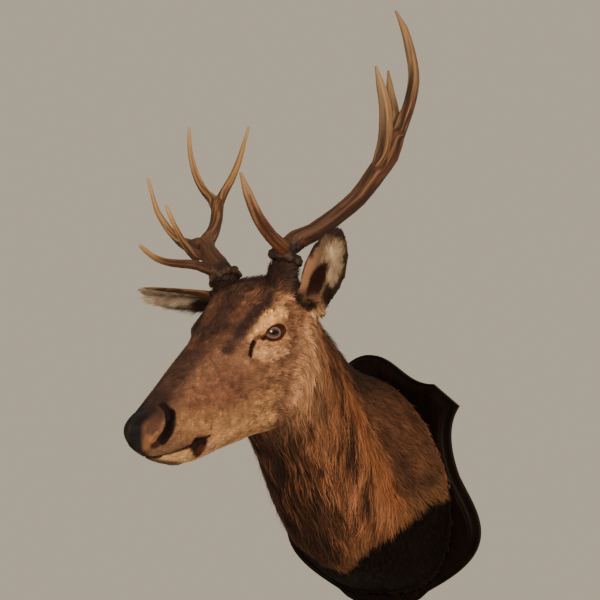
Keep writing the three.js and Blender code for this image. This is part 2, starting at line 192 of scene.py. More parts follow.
def mahogany():
    """Mahogany: straight dark grain with short open pores, under a coat of satin varnish. The
    pores are drawn about 0.7 mm wide, coarser than real ones, so that they show."""
    material, tree = blank_material("stained mahogany")
    place = add(tree, "TexCoord").outputs["Object"]
    grain_place = add(tree, "Mapping", {"Vector": place, "Scale": (60, 60, 3)}).outputs[0]
    grain = add(tree, "TexNoise", {"Vector": grain_place, "Scale": 1.0, "Detail": 4, "Distortion": 0.6})
    pore_place = add(tree, "Mapping", {"Vector": place, "Scale": (1400, 1400, 90)}).outputs[0]
    pores = add(tree, "TexNoise", {"Vector": pore_place, "Scale": 1.0, "Detail": 2})
    colour = add(tree, "ValToRGB", {"Fac": grain.outputs["Fac"]},
                 [(0.3, "#060302"), (0.55, "#0c0503"), (0.75, "#180b07")])
    bump = add(tree, "Bump", {"Height": pores.outputs["Fac"], "Strength": 0.15, "Distance": 0.0002})
    shader = add(tree, "BsdfPrincipled", {
        "Base Color": colour.outputs["Color"], "Roughness": 0.5, "IOR": 1.14, "Normal": bump.outputs[0]})
    add(tree, "OutputMaterial", {"Surface": shader.outputs[0]})
    return material


make_piece("shield_board", board_mesh(), mahogany(), ["board"])


# ---- Skin ----
# The tanned hide, glued over its form in one piece from the nose to the board, ears included.
# It lies under the solids' surface by the depth of the coat that grows on it.

flesh = ("head", "lower_jaw", "nose_pad", "neck", "cape", "ear_left", "ear_right")
seam_overlap = 0.45 * mm  # each solid grows by this, so that the thin cuts between them close
skin_voxel = 3.5 * mm
head_middle = np.array((0, -470, 269))  # mm, halfway between the eyes
head_pitch = math.radians(12.5)  # that the muzzle points down
head_back = {"nape": (-336, 352), "tilt": math.radians(9)}  # (y, z) mm where the head ends
ear_length = 152
ear_bud = 18  # radius of the gristle that fills the foot of each ear's hollow
ear_tuft = (97, -375, 303)  # world mm, the knob of pale fur behind the foot of the left ear
ear_tuft_radius = 13
side_sign = {"left": 1, "right": -1}  # of x, on each side of the stag
ears = {  # root on the head, then the ways that the tip points and the hollow faces
    "left": ((83, -106, 31), (0.6, -0.5, 0.62), (0.17, -0.72, -0.67)),
    "right": ((-72, -110, 63), (-0.66, -0.75, 0.06), (-0.08, -0.36, -0.93)),
}
ear_front = {"left": -1, "right": 1}  # which way across the hollow its front edge lies
eye_spot = np.array((58, 0, -1))  # places on the head are (left, forward, up) mm of head_middle
eye_radius = 19
eye_turn = math.radians(60)  # out of straight ahead
lids_middle = (72, 8, 0)
pad_middle = (0, 262, -84)
lid_opening = {"middle": (-0.5, -0.3), "half": (19, 9.8), "slant": math.radians(-8)}
tear_duct = [(13, -1.5, 0), (20, -2.5, 0), (25, -4, 0)]  # (forward, up) from the front of the eye
tear_pit = [(63, 35.5, -0.5), (60.2, 42, -2), (58.7, 52.3, -10.2), (58, 61.5, -23.5)]
nostril = [(18, 225, -56), (29.9, 228.6, -65.5), (35, 236.6, -76.2), (35, 245, -86.3),
           (30.1, 251.7, -95.5), (19.3, 257.2, -101.2)]
nostril_wing = [(20, 240, -64), (23, 254, -77), (15, 262, -92)]
wing_edge = [(11, 252, -64), (11, 259, -74), (7, 263, -88), (4, 262, -99)]
wing_crease = [(25, 250, -80), (17, 259, -88)]
mouth_line = [(0, 253, -117), (14.9, 241, -119), (25.5, 222, -118.5), (31.3, 200.7, -118.2),
              (38.1, 161.2, -114.4)]
philtrum = [(0, 262, -92), (0, 256, -116)]
cheek_crest = [(56, 62, -34), (50, 95, -50), (43, 130, -62)]
# The lip patch is dark bare lip in a hollow at the mouth's corner, painted darker still as shade under the
# upper lip.
lip_patch = [(33, 188, -119), (33, 175, -122), (29, 176, -129)]  # dark bare lip near the mouth's corner
lip_patch_end = [(29, 174, -131), (20, 170, -139)]


def joined_flesh():
    """The solids of the flesh and eyes in one mesh, grown until they meet, with the ears' gristle."""
    bm = bmesh.new()
    for name in flesh + ("eye_left", "eye_right"):
        bm.from_mesh(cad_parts[name].data)
    bmesh.ops.remove_doubles(bm, verts=bm.verts, dist=0.01 * mm)
    bm.normal_update()
    for vert in bm.verts:
        vert.co += vert.normal * seam_overlap
    for root, along, facing in ears.values():
        bud = from_head(np.array([root], float))[0] + 12 * unit(np.array(along)) + 10 * unit(np.array(facing))
        place = Matrix.Translation(bud * mm)
        bmesh.ops.create_icosphere(bm, subdivisions=4, radius=ear_bud * mm, matrix=place)
    place = Matrix.Translation(Vector(ear_tuft) * mm)
    bmesh.ops.create_icosphere(bm, subdivisions=4, radius=ear_tuft_radius * mm, matrix=place)
    mesh = bpy.data.meshes.new("flesh")
    bm.to_mesh(mesh)
    bm.free()
    return mesh


def remeshed(mesh, voxel):
    """The outer surface of overlapping solids as one even skin of quads."""
    thing = bpy.data.objects.new("remesh", mesh)
    bpy.context.scene.collection.objects.link(thing)
    modifier = thing.modifiers.new("voxels", "REMESH")
    modifier.mode = "VOXEL"
    modifier.voxel_size = voxel
    evaluated = thing.evaluated_get(bpy.context.evaluated_depsgraph_get())
    result = bpy.data.meshes.new_from_object(evaluated)
    bpy.data.objects.remove(thing)
    return result


def in_head(places):
    """World places in mm as (left, forward, up) of the middle of the head."""
    x, y, z = (places - head_middle).T
    c, s = math.cos(head_pitch), math.sin(head_pitch)
    return np.stack([x, -(y * c + z * s), z * c - y * s], axis=1)


def from_head(spots):
    left, forward, up = spots.T
    c, s = math.cos(head_pitch), math.sin(head_pitch)
    return np.stack([left, -forward * c - up * s, up * c - forward * s], axis=1) + head_middle


def folded(spots):
    """The same places on the left half of the head."""
    return np.column_stack([np.abs(spots[:, 0]), spots[:, 1:]])


def soft(value, full, none):
    """1 where value is at full or past it, 0 at none, and a smooth slope between."""
    share = np.clip((value - none) / (full - none), 0, 1)
    return share * share * (3 - 2 * share)


cell_primes = np.array((73856093, 19349663, 83492791))  # they give each cell of space a number
lattice_size = 4096


def mottle(places, size, seed):
    """Smooth random values from -1 to 1 over places, in patches of about size."""
    lattice = np.random.default_rng(seed).uniform(-1, 1, lattice_size)
    spots = places / size + 1000.5  # well clear of the origin, where cells change sign
    cell = np.floor(spots).astype(np.int64)
    share = spots - cell
    share = share * share * (3 - 2 * share)
    total = 0
    for corner in np.ndindex(2, 2, 2):
        key = (cell + corner) @ cell_primes
        weight = np.where(corner, share, 1 - share).prod(axis=1)
        total = total + weight * lattice[(key ^ (key >> 13)) % lattice_size]
    return total


def read_mesh(mesh):
    """A mesh's places in mm, its edges and its normals."""
    places = np.empty((len(mesh.vertices), 3))
    mesh.vertices.foreach_get("co", places.ravel())
    edges = np.empty((len(mesh.edges), 2), np.int32)
    mesh.edges.foreach_get("vertices", edges.ravel())
    return places / mm, edges, read_normals(mesh)


def read_normals(mesh):
    normals = np.empty((len(mesh.vertices), 3))
    mesh.vertex_normals.foreach_get("vector", normals.ravel())
    return normals


def move_mesh(mesh, places):
    """Moves a mesh's vertices to places in mm and gives the new normals."""
    mesh.vertices.foreach_set("co", (places * mm).ravel())
    mesh.update()
    return read_normals(mesh)


def smoothed(places, edges, rounds, share=1.0, back=-0.53):
    """Evens out a surface; back undoes the shrinking of each round."""
    many = np.bincount(edges.ravel(), minlength=len(places))[:, None]
    for _ in range(rounds):
        for step in (0.5, back):
            total = np.stack([np.bincount(edges[:, 0], column[edges[:, 1]], len(places))
                              + np.bincount(edges[:, 1], column[edges[:, 0]], len(places))
                              for column in places.T], axis=1)
            places = places + step * (total / many - places) * share
    return places


def behind_head(places):
    """How far a world place lies behind the plane where the head meets the neck, in mm."""
    y, z = head_back["nape"]
    tilt = head_back["tilt"]
    return (places[:, 1] - y) * math.cos(tilt) - (places[:, 2] - z) * math.sin(tilt)


def on_ear(places, side):
    """Place on an ear: share of its length, mm across it, and mm out of its hollow."""
    root, along, facing = (np.array(part, float) for part in ears[side])
    root = from_head(root[None])[0]
    along = unit(along)
    facing = unit(facing - along * (facing @ along))
    rest = places - root
    return rest @ along / ear_length, rest @ np.cross(along, facing), rest @ facing


def ear_share(places):
    """1 on the ears, 0 on the rest of the skin."""
    total = np.zeros(len(places))
    for side in ears:
        along, across, out = on_ear(places, side)
        for i in np.flatnonzero((along > -0.15) & (np.hypot(across, out - 22) < 60)):
            _, _, _, distance = ear_trees[side].find_nearest(Vector(places[i] * mm))
            total[i] = max(total[i], soft(distance / mm, 2.6, 6) * soft(along[i], 0.1, -0.02))
    return total


def node_tree(name):
    bm = bmesh.new()
    bm.from_mesh(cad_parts[name].data)
    tree = BVHTree.FromBMesh(bm)
    bm.free()
    return tree


ear_trees = {side: node_tree(f"ear_{side}") for side in ears}


def coat_depth(places, spots):
    """How far the skin lies under the tips of its coat, in mm."""
    behind = behind_head(places)
    depth = np.interp(behind, [-320, -230, -120, -60, 0, 60], [1.2, 2, 3.2, 5.5, 10, 13])
    depth = depth * (1 - 0.45 * soft(places[:, 1], -60, -210))
    throat = soft(behind, 20, -60) * soft(np.abs(places[:, 0]), 25, 70) * soft(places[:, 1], -240, -160)
    depth = depth + 5 * throat
    eye_gap = np.linalg.norm(folded(spots) - eye_spot, axis=1)
    depth = depth * (1 - 0.75 * soft(eye_gap, 26, 48))
    muzzle = soft(spots[:, 1], 215, 185)
    depth = depth * (1 - 0.6 * muzzle)
    pad = soft(np.linalg.norm(folded(spots) - pad_middle, axis=1), 12, 32)
    depth = depth * (1 - pad)
    pedicle = soft(spots[:, 2], 92, 70)
    depth = depth * (1 - 0.6 * pedicle)
    on = ear_share(places)
    return depth * (1 - on) + 0.9 * on


def by_eye(spots):
    """(forward, up, out) mm from the middle of the left eye, along its gaze."""
    gaze = np.array((math.sin(eye_turn), math.cos(eye_turn), 0))
    front = np.array((-math.cos(eye_turn), math.sin(eye_turn), 0))
    rest = spots - eye_spot
    return np.stack([rest @ front, rest[:, 2], rest @ gaze], axis=1), gaze, front


def lid_gap(forward, up):
    """Distance outside the edge of the lids, in mm, negative in the opening."""
    slant = lid_opening["slant"]
    a, b = forward - lid_opening["middle"][0], up - lid_opening["middle"][1]
    a, b = a * math.cos(slant) + b * math.sin(slant), b * math.cos(slant) - a * math.sin(slant)
    half = lid_opening["half"]
    ring = np.hypot(a / half[0], b / half[1])
    gap = (ring - 1) * np.hypot(a, b) / np.maximum(ring, 0.05)
    flat = np.stack([forward, up, np.zeros(len(up))], axis=1)
    duct, along = near_path(flat, tear_duct)
    return np.minimum(gap, duct - np.interp(along, [0, 1], [3.2, 1.2]))


def refine(bm, spots_in_zone, rounds):
    """Halves the quads of a part of the skin; rounds give the reach of each halving, in mm."""
    for reach in rounds:
        places = np.array([v.co[:] for v in bm.verts]) / mm
        near = spots_in_zone(folded(in_head(places))) < reach
        bm.verts.index_update()
        edges = [e for e in bm.edges if near[e.verts[0].index] and near[e.verts[1].index]]
        bmesh.ops.subdivide_edges(bm, edges=edges, cuts=1, use_grid_fill=True)


def eye_zone(spots):
    around_pit = near_path(spots, tear_pit)[0] + 22
    return np.minimum(np.linalg.norm(spots - lids_middle, axis=1), around_pit)


def muzzle_zone(spots):
    return np.minimum(near_path(spots, nostril)[0], near_path(spots, mouth_line)[0] + 8)


def carve(places, spots, normals, path, depth, half_width, wall):
    """Presses a groove into the skin along a path; wall is the share of it that slopes."""
    distance, along = near_path(spots, path)
    width = np.interp(along, np.linspace(0, 1, len(half_width)), half_width)
    deep = np.interp(along, np.linspace(0, 1, len(depth)), depth)
    press = soft(distance, width * (1 - wall), width)
    return places - normals * (deep * press)[:, None]


def swell(places, spots, normals, path, height, reach):
    distance, _ = near_path(spots, path)
    return places + normals * (height * np.exp(-(distance / reach) ** 2))[:, None]


def tight_skin():
    """The flesh as one even skin, sunk by the depth of its coat, with smaller quads round the eyes,
    nose and mouth."""
    mesh = remeshed(joined_flesh(), skin_voxel)
    places, edges, _ = read_mesh(mesh)
    places = smoothed(places, edges, 16)
    for _ in range(3):
        normals = move_mesh(mesh, places)
        places = places - normals * (coat_depth(places, in_head(places)) / 3)[:, None]
    places = smoothed(places, edges, 4)
    ear = np.clip(2 * ear_share(places), 0, 1)[:, None]
    places = smoothed(places, edges, 6, ear, 0.5)
    places = smoothed(places, edges, 24, ear)
    move_mesh(mesh, places)
    bm = bmesh.new()
    bm.from_mesh(mesh)
    refine(bm, eye_zone, (42, 31))
    refine(bm, muzzle_zone, (20, 11))
    bmesh.ops.triangulate(bm, faces=[f for f in bm.faces if len(f.verts) > 4])
    bm.to_mesh(mesh)
    bm.free()
    return mesh


def modelled_muzzle(places, spots, normals):
    """Raises the cheeks, wings and lips, and presses in the nostrils, mouth and tear pits."""
    places = swell(places, spots, normals, cheek_crest, 2.2, 9)
    places = swell(places, spots, normals, nostril_wing, 1.3, 6)
    places = swell(places, spots, normals, [(33, 222, -70), (38, 236, -88)], 1.5, 8)
    places = carve(places, spots, normals, wing_edge, (0.4, 1.6, 1.8, 0.8), (3, 4, 4, 3), 1)
    places = carve(places, spots, normals, wing_crease, (0.9, 0.7), (1.6, 1.4), 1)
    lower_lip = [(p[0], p[1] - 4, p[2] - 8) for p in mouth_line[:4]]
    places = swell(places, spots, normals, lower_lip, 1.6, 6)
    places = carve(places, spots, normals, nostril, (2, 9, 15, 15, 10, 3), (3.6, 6.2, 7.6, 7.2, 5.4, 3), 0.5)
    places = carve(places, spots, normals, mouth_line, (3.5, 3.5, 3, 4, 2), (2.2, 2.2, 2.2, 3, 2), 0.8)
    places = carve(places, spots, normals, philtrum, (0.6, 1.6), (2, 2.4), 1)
    places = carve(places, spots, normals, lip_patch, (2.4, 2.6), (9, 10), 0.4)

    side_step = [(p[0] + 1, p[1] - 7, p[2] - 5) for p in tear_pit]
    places = swell(places, spots, normals, side_step, 1.8, 5)
    places = carve(places, spots, normals, tear_pit, (1, 3.5, 7, 2), (2.6, 4, 5.6, 2.6), 1)
    return places


def set_lids(places):
    """Stretches the skin round each eye over the glass: a rim, a fold above it and a pouch below."""
    heads = in_head(places)
    side = np.where(heads[:, :1] < 0, -1.0, 1.0)
    spots = folded(heads)
    seen, gaze, front = by_eye(spots)
    gap = lid_gap(seen[:, 0], seen[:, 1])
    distance = np.linalg.norm(seen, axis=1)
    lid = eye_radius + np.interp(gap, [-1.5, 0, 1, 3.5], [0.2, 0.5, 1.5, 2.4])
    raised = np.maximum(distance, lid)
    fold = 0.9 * np.exp(-((gap - 6.5) / 1.1) ** 2) * soft(seen[:, 1], 4, 0)
    pouch = 0.5 * np.sin((gap - 3) * 1.5) * soft(gap, 3, 2) * soft(gap, 9, 15) * soft(seen[:, 1], -4, 2)
    rim = 0.8 * np.exp(-((gap - 1.8) / 1.3) ** 2)
    raised = raised - fold + pouch + rim
    sunk = eye_radius - 2.6
    target = sunk + (raised - sunk) * soft(gap, 0, -1.6)
    near = soft(distance, 36, 44) * (seen[:, 2] > 0)
    turned = seen * (1 + (target / np.maximum(distance, 1) - 1) * near)[:, None]
    moved = turned[:, :1] * front + turned[:, 1:2] * (0, 0, 1) + turned[:, 2:] * gaze + eye_spot
    moved[:, :1] *= side
    return np.where((near > 0)[:, None], from_head(moved), places)


def skin_surface():
    mesh = tight_skin()
    places, edges, _ = read_mesh(mesh)
    spots = folded(in_head(places))
    worked = np.maximum(soft(eye_zone(spots), 50, 60), soft(muzzle_zone(spots), 20, 28))[:, None]
    plain = smoothed(places, edges, 4, worked)
    normals = move_mesh(mesh, plain)
    places = set_lids(modelled_muzzle(plain, folded(in_head(plain)), normals))
    places = smoothed(places, edges, 1, 0.5 * worked)
    return mesh, places, plain, move_mesh(mesh, places)


skin_mesh, skin_places, skin_plain, skin_normals = skin_surface()

base_coat = "#836048"
under_coat = "#694a3b"
skin_spots = folded(in_head(skin_plain))


def settled(path):
    """The path with each point moved onto the skin, as it was before its grooves were pressed in."""
    nearest = [np.argmin(np.linalg.norm(skin_spots - spot, axis=1)) for spot in np.array(path, float)]
    return list(skin_spots[nearest])


face_marks = [(colour, settled(path), *rest) for colour, path, *rest in (  # reach and blur in mm, strength
    ("#45302a", [(0, 240, -60), (0, 160, -18), (0, 80, 16)], 16, 20, 0.95),
    ("#3f2c28", [(0, 60, 27), (10, 3, 54), (16, -50, 80)], 24, 26, 0.92),
    ("#74503a", [(26, 44, 34), (30, 10, 50), (34, -30, 62)], 4, 12, 0.5),
    ("#74503a", [(12, 110, 8), (24, 80, 14)], 3, 9, 0.45),
    ("#2d2020", [(59, -22, 50), (53, 13, 37), (48, 32, 26), (44, 56, 12)], 6, 9, 0.92),
    ("#342524", [(44, 56, 12), (42, 79, -3), (38, 95, -8)], 4, 10, 0.85),
    ("#a67b59", [(83, -50, 2), (82, -76, 24)], 8, 14, 0.5),
    ("#a77c5b", [(68, -24, 42), (71, -40, 52)], 5, 9, 0.65),
    ("#744a38", [(81, -32, 16), (82, -33, -8)], 2, 8, 0.5),
    ("#6f4a3a", [(39, 173, -65), (46, 121, -60), (53, 90, -53)], 10, 20, 0.6),
    ("#97704f", [(39, 213, -86), (42, 190, -96), (42, 152, -102)], 11, 16, 0.85),
    ("#9c7653", [(42, 152, -108), (45, 109, -113), (53, 65, -102), (61, 31, -88)], 10, 18, 0.7),
    ("#b58b63", [(24, 186, -138), (32, 120, -140), (44, 30, -138)], 14, 18, 0.8),
    ("#c29a74", [(0, 205, -142), (0, 100, -152), (0, 0, -156)], 18, 16, 0.8),
    ("#b98d6a", [(86, -88, -40), (80, -60, -100)], 30, 32, 0.85),
    ("#b8885f", [(68, 4, 8), (70, 6, -12), (63, 36, -14)], 15, 18, 0.72),
    ("#ebb77a", [(75, -17, 25), (69, 13, 19)], 4, 12, 0.88),
    ("#d9a671", [(69, 13, 19), (62, 37, 4)], 2, 10, 0.6),
    ("#c9a07a", [(75, -1, -32), (70, 24, -30)], 3, 14, 0.36),
    ("#c79870", [(60, 32, 14), (57, 49, -3)], 2, 8, 0.5),
    ("#c8a07c", [(57, 52, -26), (62, 40, -30)], 2, 8, 0.5),
    ("#96694d", [(64, -34, 56), (66, -40, 68)], 4, 8, 0.6),
    # Dark fur in front of the ear's foot, with painted shade between the ear and the head.
    ("#1f1513", [(79, -60, 72), (80, -62, 48), (81, -74, 33), (88, -84, 26)], 6, 8, 0.95),
    ("#342423", [(0, 240, -60), (0, 222, -50)], 14, 14, 0.9),
    ("#5a4034", [(18, 232, -57), (22, 238, -64)], 3, 7, 0.8),
    ("#7d6049", [(14, 250, -108), (24, 226, -110)], 5, 7, 0.85),
    ("#dab081", [(12, 236, -128), (21, 212, -127), (20, 192, -136)], 6, 7, 0.9),
    ("#cca182", [(33, 157, -127), (24, 158, -140), (16, 164, -144)], 2, 5, 0.8),
    ("#4c3e36", [(0, 238, -132), (0, 206, -143)], 6, 7, 0.85),
    ("#c7a07a", [(32, 184, -49), (39, 165, -61)], 0.3, 1.2, 0.6),
    ("#4a2a1b", [(67, 34, -11), (70, 27, -20)], 0.4, 1.4, 0.8),
)]
bare_marks = [(colour, settled(path), *rest) for colour, path, *rest in (  # the same, where no hair grows
    ("#3d2a25", [(18, 237, -60), (22, 246, -67)], 5, 6, 0.95),
    ("#4b322a", [(23, 250, -73), (20, 259, -83)], 5, 6, 0.9),
    ("#7d573c", [(15, 261, -91), (9, 262, -99)], 4, 5, 0.9),
    # A painted highlight on the nostril's wing.
    ("#a87850", [(24, 253, -85), (17, 259, -91)], 0.3, 2.4, 0.5),
    ("#241a1b", [(0, 243, -60), (8, 240, -58), (0, 250, -63)], 6, 8, 0.95),
    # The nostril's opening painted near black: painted shade deep in the hole.
    ("#0e0707", nostril[1:5], 6, 3.4, 1),
    ("#180d0c", nostril[:2], 3.4, 4.5, 1),
    ("#1d1110", nostril[4:], 3, 4.5, 0.9),
    ("#22120d", mouth_line, 1.3, 1.8, 0.95),
    ("#140b09", [(0, 250, -118), (12, 240, -120)], 1.4, 2.4, 0.9),
    # The hollow at the mouth's corner: dark bare lip, painted darker as shade under the upper lip.
    ("#1a0d0a", lip_patch, 8.5, 5.5, 1),
    ("#3d1f10", lip_patch_end, 4, 5, 1),
    ("#26140e", [(28, 190, -125), (23, 183, -136)], 3, 4, 1),
    ("#1d0f0c", [(30, 206, -118), (34, 188, -119)], 1.6, 2.6, 0.95),
    # The tear pit: dark bare skin, painted darker as shade in its groove; a brown painted shadow links its
    # top to the eye's front corner.
    ("#4b3125", tear_pit[:3], 1.6, 3.4, 0.85),
    ("#1b0e0b", [(59.3, 47.5, -6.5)] + tear_pit[2:], 2.3, 3.2, 1),
    ("#54392a", [(68, 25, -2), (63, 36, -2)], 1.6, 4.5, 0.85),
)]
bare_paths = [(nostril, 6), (lip_patch, 9), (lip_patch_end, 4), (mouth_line, 1), (tear_pit, 3)]
dark_pad = [(0, 250, -62), (-2, 262, -78), (-6, 262, -92), (-6, 256, -113)]  # on both halves of the nose
# Painted shade over the far nostril's wing, on the side away from the key lamp.
far_nose_shade = [(-14, 240, -60), (-20, 254, -76), (-17, 260, -92)]
neck_ridge = [(94.6, -295, 215), (106, -258, 141), (122, -176, -4)]  # world mm


def paint(colours, colour, share):
    return colours + (np.array(linear(colour)[:3]) - colours) * share[:, None]


def hem_height(places):
    """Height of the fringe where the long fur of the chest ends, over the underside, which is
    painted near black as dark hair and painted shade.
    """
    return -117 + 0.71 * np.abs(places[:, 0]) + 0.044 * places[:, 1]


def cape_side(places):
    """How far behind the ridge of the mane a place lies, in mm."""
    return places[:, 1] + 295 + 0.543 * (places[:, 2] - 215)


def ear_spread(places, side):
    """Share of an ear's length from its root, and place across it: 1 at its front edge, -1 behind."""
    along, across, _ = on_ear(places, side)
    low, high = ear_edges[side]
    steps = np.linspace(0, 1, len(low))
    low, high = np.interp(along, steps, low), np.interp(along, steps, high)
    return along, ear_front[side] * (2 * (across - low) / (high - low) - 1)


def edges_of_ear(side):
    """How far the ear reaches across, both ways, at steps along it."""
    along, across, _ = on_ear(skin_plain, side)
    on = (ear_share(skin_plain) > 0.5) & (np.sign(skin_plain[:, 0]) == side_sign[side])
    rows = [across[on & (np.abs(along - step) < 0.06)] for step in np.linspace(0, 1, 12)]
    return [row.min() for row in rows], [row.max() for row in rows]


ear_edges = {side: edges_of_ear(side) for side in ears}


def ear_colours(places, normals, side):
    """Tan behind; inside a smooth tan front edge, a dark hollow, pale hair and a dark furry rim."""
    along, across = ear_spread(places, side)
    edge = 4 * mottle(places, 5, 12) / 30
    back = np.tile(linear("#9a6f4e")[:3], (len(places), 1))
    back = paint(back, "#6b4d3a", 0.3 + 0.3 * mottle(places, 14, 7))
    back = paint(back, "#3d2c25", soft(along, 0.2, 0.36))
    edging = np.maximum(soft(np.abs(across) + edge, 0.88, 0.74), soft(along + edge / 2, 0.97, 0.9))
    back = paint(back, "#26170f", 0.92 * edging)
    strands = 0.55 + 0.6 * mottle(places * (1, 0.3, 0.3), 2.6, 13)
    pale, reach = ("#b7a487", (0.1, 0.4)) if side == "left" else ("#d9cbb4", (0.66, 0.84))
    inner = np.tile(linear("#7b6352")[:3], (len(places), 1))
    inner = paint(inner, pale, soft(across, *reach) * soft(along, 0.3, 0.16) * np.clip(strands, 0, 1))
    hollow = 0.3
    if side == "left":
        inner = paint(inner, "#4f3f38", 0.85 * soft(along + edge / 2, 0.88, 0.7))
        inner = paint(inner, "#a67c60", soft(across, 0.66, 0.4) * soft(along, 0.56, 0.72))
    else:
        hollow = 0.1
    deep = np.hypot((across - 0.14) / 0.44, (along - hollow) / 0.25)
    inner = paint(inner, "#26130f", soft(deep, 0.8, 1.12))
    inner = paint(inner, "#2e1e19", soft(np.hypot((across + 0.6) / 0.28, (along - 0.23) / 0.1), 0.7, 1.3))
    rim = np.maximum(soft(across + edge, -0.8, -0.6), soft(along + edge / 2, 0.95, 0.86))
    if side == "right":
        rim = rim * soft(along, 0.5, 0.7)
    front_rim = soft(across + edge, 0.84, 0.66) * (soft(along, 0.66, 0.52) if side == "left" else 1)
    front_rim = np.maximum(front_rim, soft(across, 0.97, 0.88))
    inner = paint(inner, "#21140f", 0.95 * np.maximum(rim, front_rim) * soft(along, 0.16, 0.08))
    inside = soft(normals @ unit(np.array(ears[side][2])), 0.25, -0.1)
    leaf = back + (inner - back) * inside[:, None]
    leaf = paint(leaf, "#8a6549", soft(along, 0.02, 0.1))
    # On the left ear, dark at the front of its foot: dark fur, with painted shade between the ear and the
    # head.
    if side == "left":
        leaf = paint(leaf, "#1f1412", 0.92 * soft(across, 0.6, 0.34) * soft(along, 0.12, 0.28))
    return leaf


def mane_colours(places, normals, behind):
    """Red-brown streaks in a dark mane, duller over the shoulder, with painted shade on the far throat,
    painted light on the fringe's tips, and black under the fringe for dark hair and painted shade.
    """
    mirrored = np.abs(places[:, 0])[:, None] * (1, 0, 0) + places * (0, 1, 1)
    drift = places + 5 * np.column_stack([mottle(places, 45, 11 + i) for i in range(3)])
    streak = mottle(drift * (1, 1, 0.09), 9, 3) + 0.8 * mottle(drift * (1, 1, 0.09), 4, 4)
    ridge, _ = near_path(mirrored, neck_ridge)
    warmth = 0.46 + 0.85 * streak + 0.42 * soft(ridge, 8, 42)
    # Less warmth on the forward-facing throat, from the middle over the far side: dark throat hair, with
    # painted shade where it faces away from the key lamp.
    throat = soft(places[:, 0], 8, 44) * soft(normals[:, 1], -0.35, 0.05)
    warmth = warmth - 0.55 * throat
    mane = np.tile(linear("#291a16")[:3], (len(places), 1))
    mane = paint(mane, "#8a5d42", np.clip(warmth, 0, 1))
    mane = paint(mane, "#935b38", 0.6 * soft(ridge, 4, 22))
    near_cheek = soft(behind, -20, 60) * (1 - throat)
    mane = paint(mane, "#5d4130", 0.55 * near_cheek)
    cape = soft(cape_side(places), 34, 4)
    grain = 0.5 + 0.5 * mottle(drift * (1, 0.5, 0.3), 8, 5)
    mane = paint(mane, "#5c3f30", cape * (0.6 + 0.35 * grain))
    mane = paint(mane, "#33231b", 0.55 * cape * soft(mottle(drift * (1, 0.7, 0.7), 30, 15), 0.6, 0))
    upper = np.clip(soft(places[:, 2], 215, 150) + 0.4 * (grain - 0.5), 0, 1)
    mane = paint(mane, "#231813", 0.9 * cape * upper)
    above = places[:, 2] - hem_height(places) + 7 * mottle(places, 12, 6)
    # Paler just over the hem: painted light on the lit tips of the fringe.
    mane = paint(mane, "#7f5a3d", 0.5 * soft(above, 26, 56))
    # Near black under the fringe: dark hair, with painted shade on the underside.
    return paint(mane, "#030101", 0.98 * soft(above, -4, 17))


def markings(places, normals, ear):
    """The colour of the coat at its roots' places, painted shade and highlights included, and how
    bare the skin is there. ear is the share that each place has in an ear."""
    heads = in_head(places)
    spots = folded(heads)
    behind = behind_head(places)
    colours = np.tile(linear(base_coat)[:3], (len(places), 1))
    colours = paint(colours, under_coat, 0.5 + 0.5 * mottle(places, 22, 1))
    for colour, path, reach, blur, strength in face_marks:
        distance, _ = near_path(spots, path)
        ragged = distance + min(4, blur / 3) * mottle(places, 6, 2)
        colours = paint(colours, colour, strength * soft(ragged, reach, reach + blur))
    crown = soft(spots[:, 2] + 0.35 * spots[:, 0] + 5 * mottle(places, 9, 14), 84, 66) * soft(behind, -20, 20)
    crown = crown * (1 - 0.8 * soft(near_path(spots, [(64, -34, 56), (66, -40, 68)])[0], 3, 8))
    colours = paint(colours, "#241815", 0.95 * crown)
    tuft = soft(np.linalg.norm(places - ear_tuft, axis=1), 15, 21) * soft(places[:, 2], 299, 289)
    colours = paint(colours, "#dcb486", 0.85 * tuft)
    flecks = mottle(heads * (1, 0.4, 1), 2.6, 9) + 0.8 * mottle(heads * (1, 0.5, 1), 6, 10)
    colours = colours * np.exp(0.33 * flecks)[:, None]
    # Painted shade: a dark spot over the far eye's pale patch, on the side of the head away from the key
    # lamp.
    far_brow_shade = soft(np.linalg.norm(heads - (-62, 22, 22), axis=1), 16, 27)
    colours = paint(colours, "#33231f", 0.9 * far_brow_shade)
    mane = mane_colours(places, normals, behind)
    colours = colours + (mane - colours) * soft(behind, 20, -60)[:, None]

    for side, sign in side_sign.items():
        here = ear * (np.sign(places[:, 0]) == sign)
        leaf = ear_colours(places, normals, side)
        colours = colours + (leaf - colours) * here[:, None]

    bare = np.zeros(len(places))
    for colour, path, reach, blur, strength in bare_marks:
        share = strength * soft(near_path(spots, path)[0], reach, reach + blur)
        colours = paint(colours, colour, share)
        bare = np.maximum(bare, share)
    # Painted shade on the far half of the nose, then the black pad.
    for colour, path, reach, blur in (("#151113", far_nose_shade, 8, 4), ("#0e0a0c", dark_pad, 7, 8)):
        share = soft(near_path(heads, path)[0], reach, reach + blur)
        colours = paint(colours, colour, share)
        bare = np.maximum(bare, share)
    seen, _, _ = by_eye(spots)
    gap = lid_gap(seen[:, 0], seen[:, 1])
    close = (seen[:, 2] > 0) * (np.linalg.norm(seen, axis=1) < 50)
    lid_width = np.interp(seen[:, 1], [-8, 8], [0.5, 1.8]) + 1.2 * soft(seen[:, 0], -10, 0)
    rim = close * soft(gap, lid_width, lid_width + 2.2)
    colours = paint(colours, "#33190f", rim)
    # A pale spot at the eye's front corner: a painted highlight on the skin there.
    colours = paint(colours, "#8d6650", close * soft(np.hypot(seen[:, 0] - 17, seen[:, 1] + 1.5), 1.4, 3.6))
    return colours, np.maximum(bare, rim)


def give_values(mesh, name, values):
    """Stores one number or colour per vertex, for the material to read."""
    if values.ndim == 1:
        mesh.attributes.new(name, "FLOAT", "POINT").data.foreach_set("value", values)
    else:
        rows = np.hstack([values, np.ones((len(values), 1))])
        mesh.attributes.new(name, "FLOAT_COLOR", "POINT").data.foreach_set("color", rows.ravel())


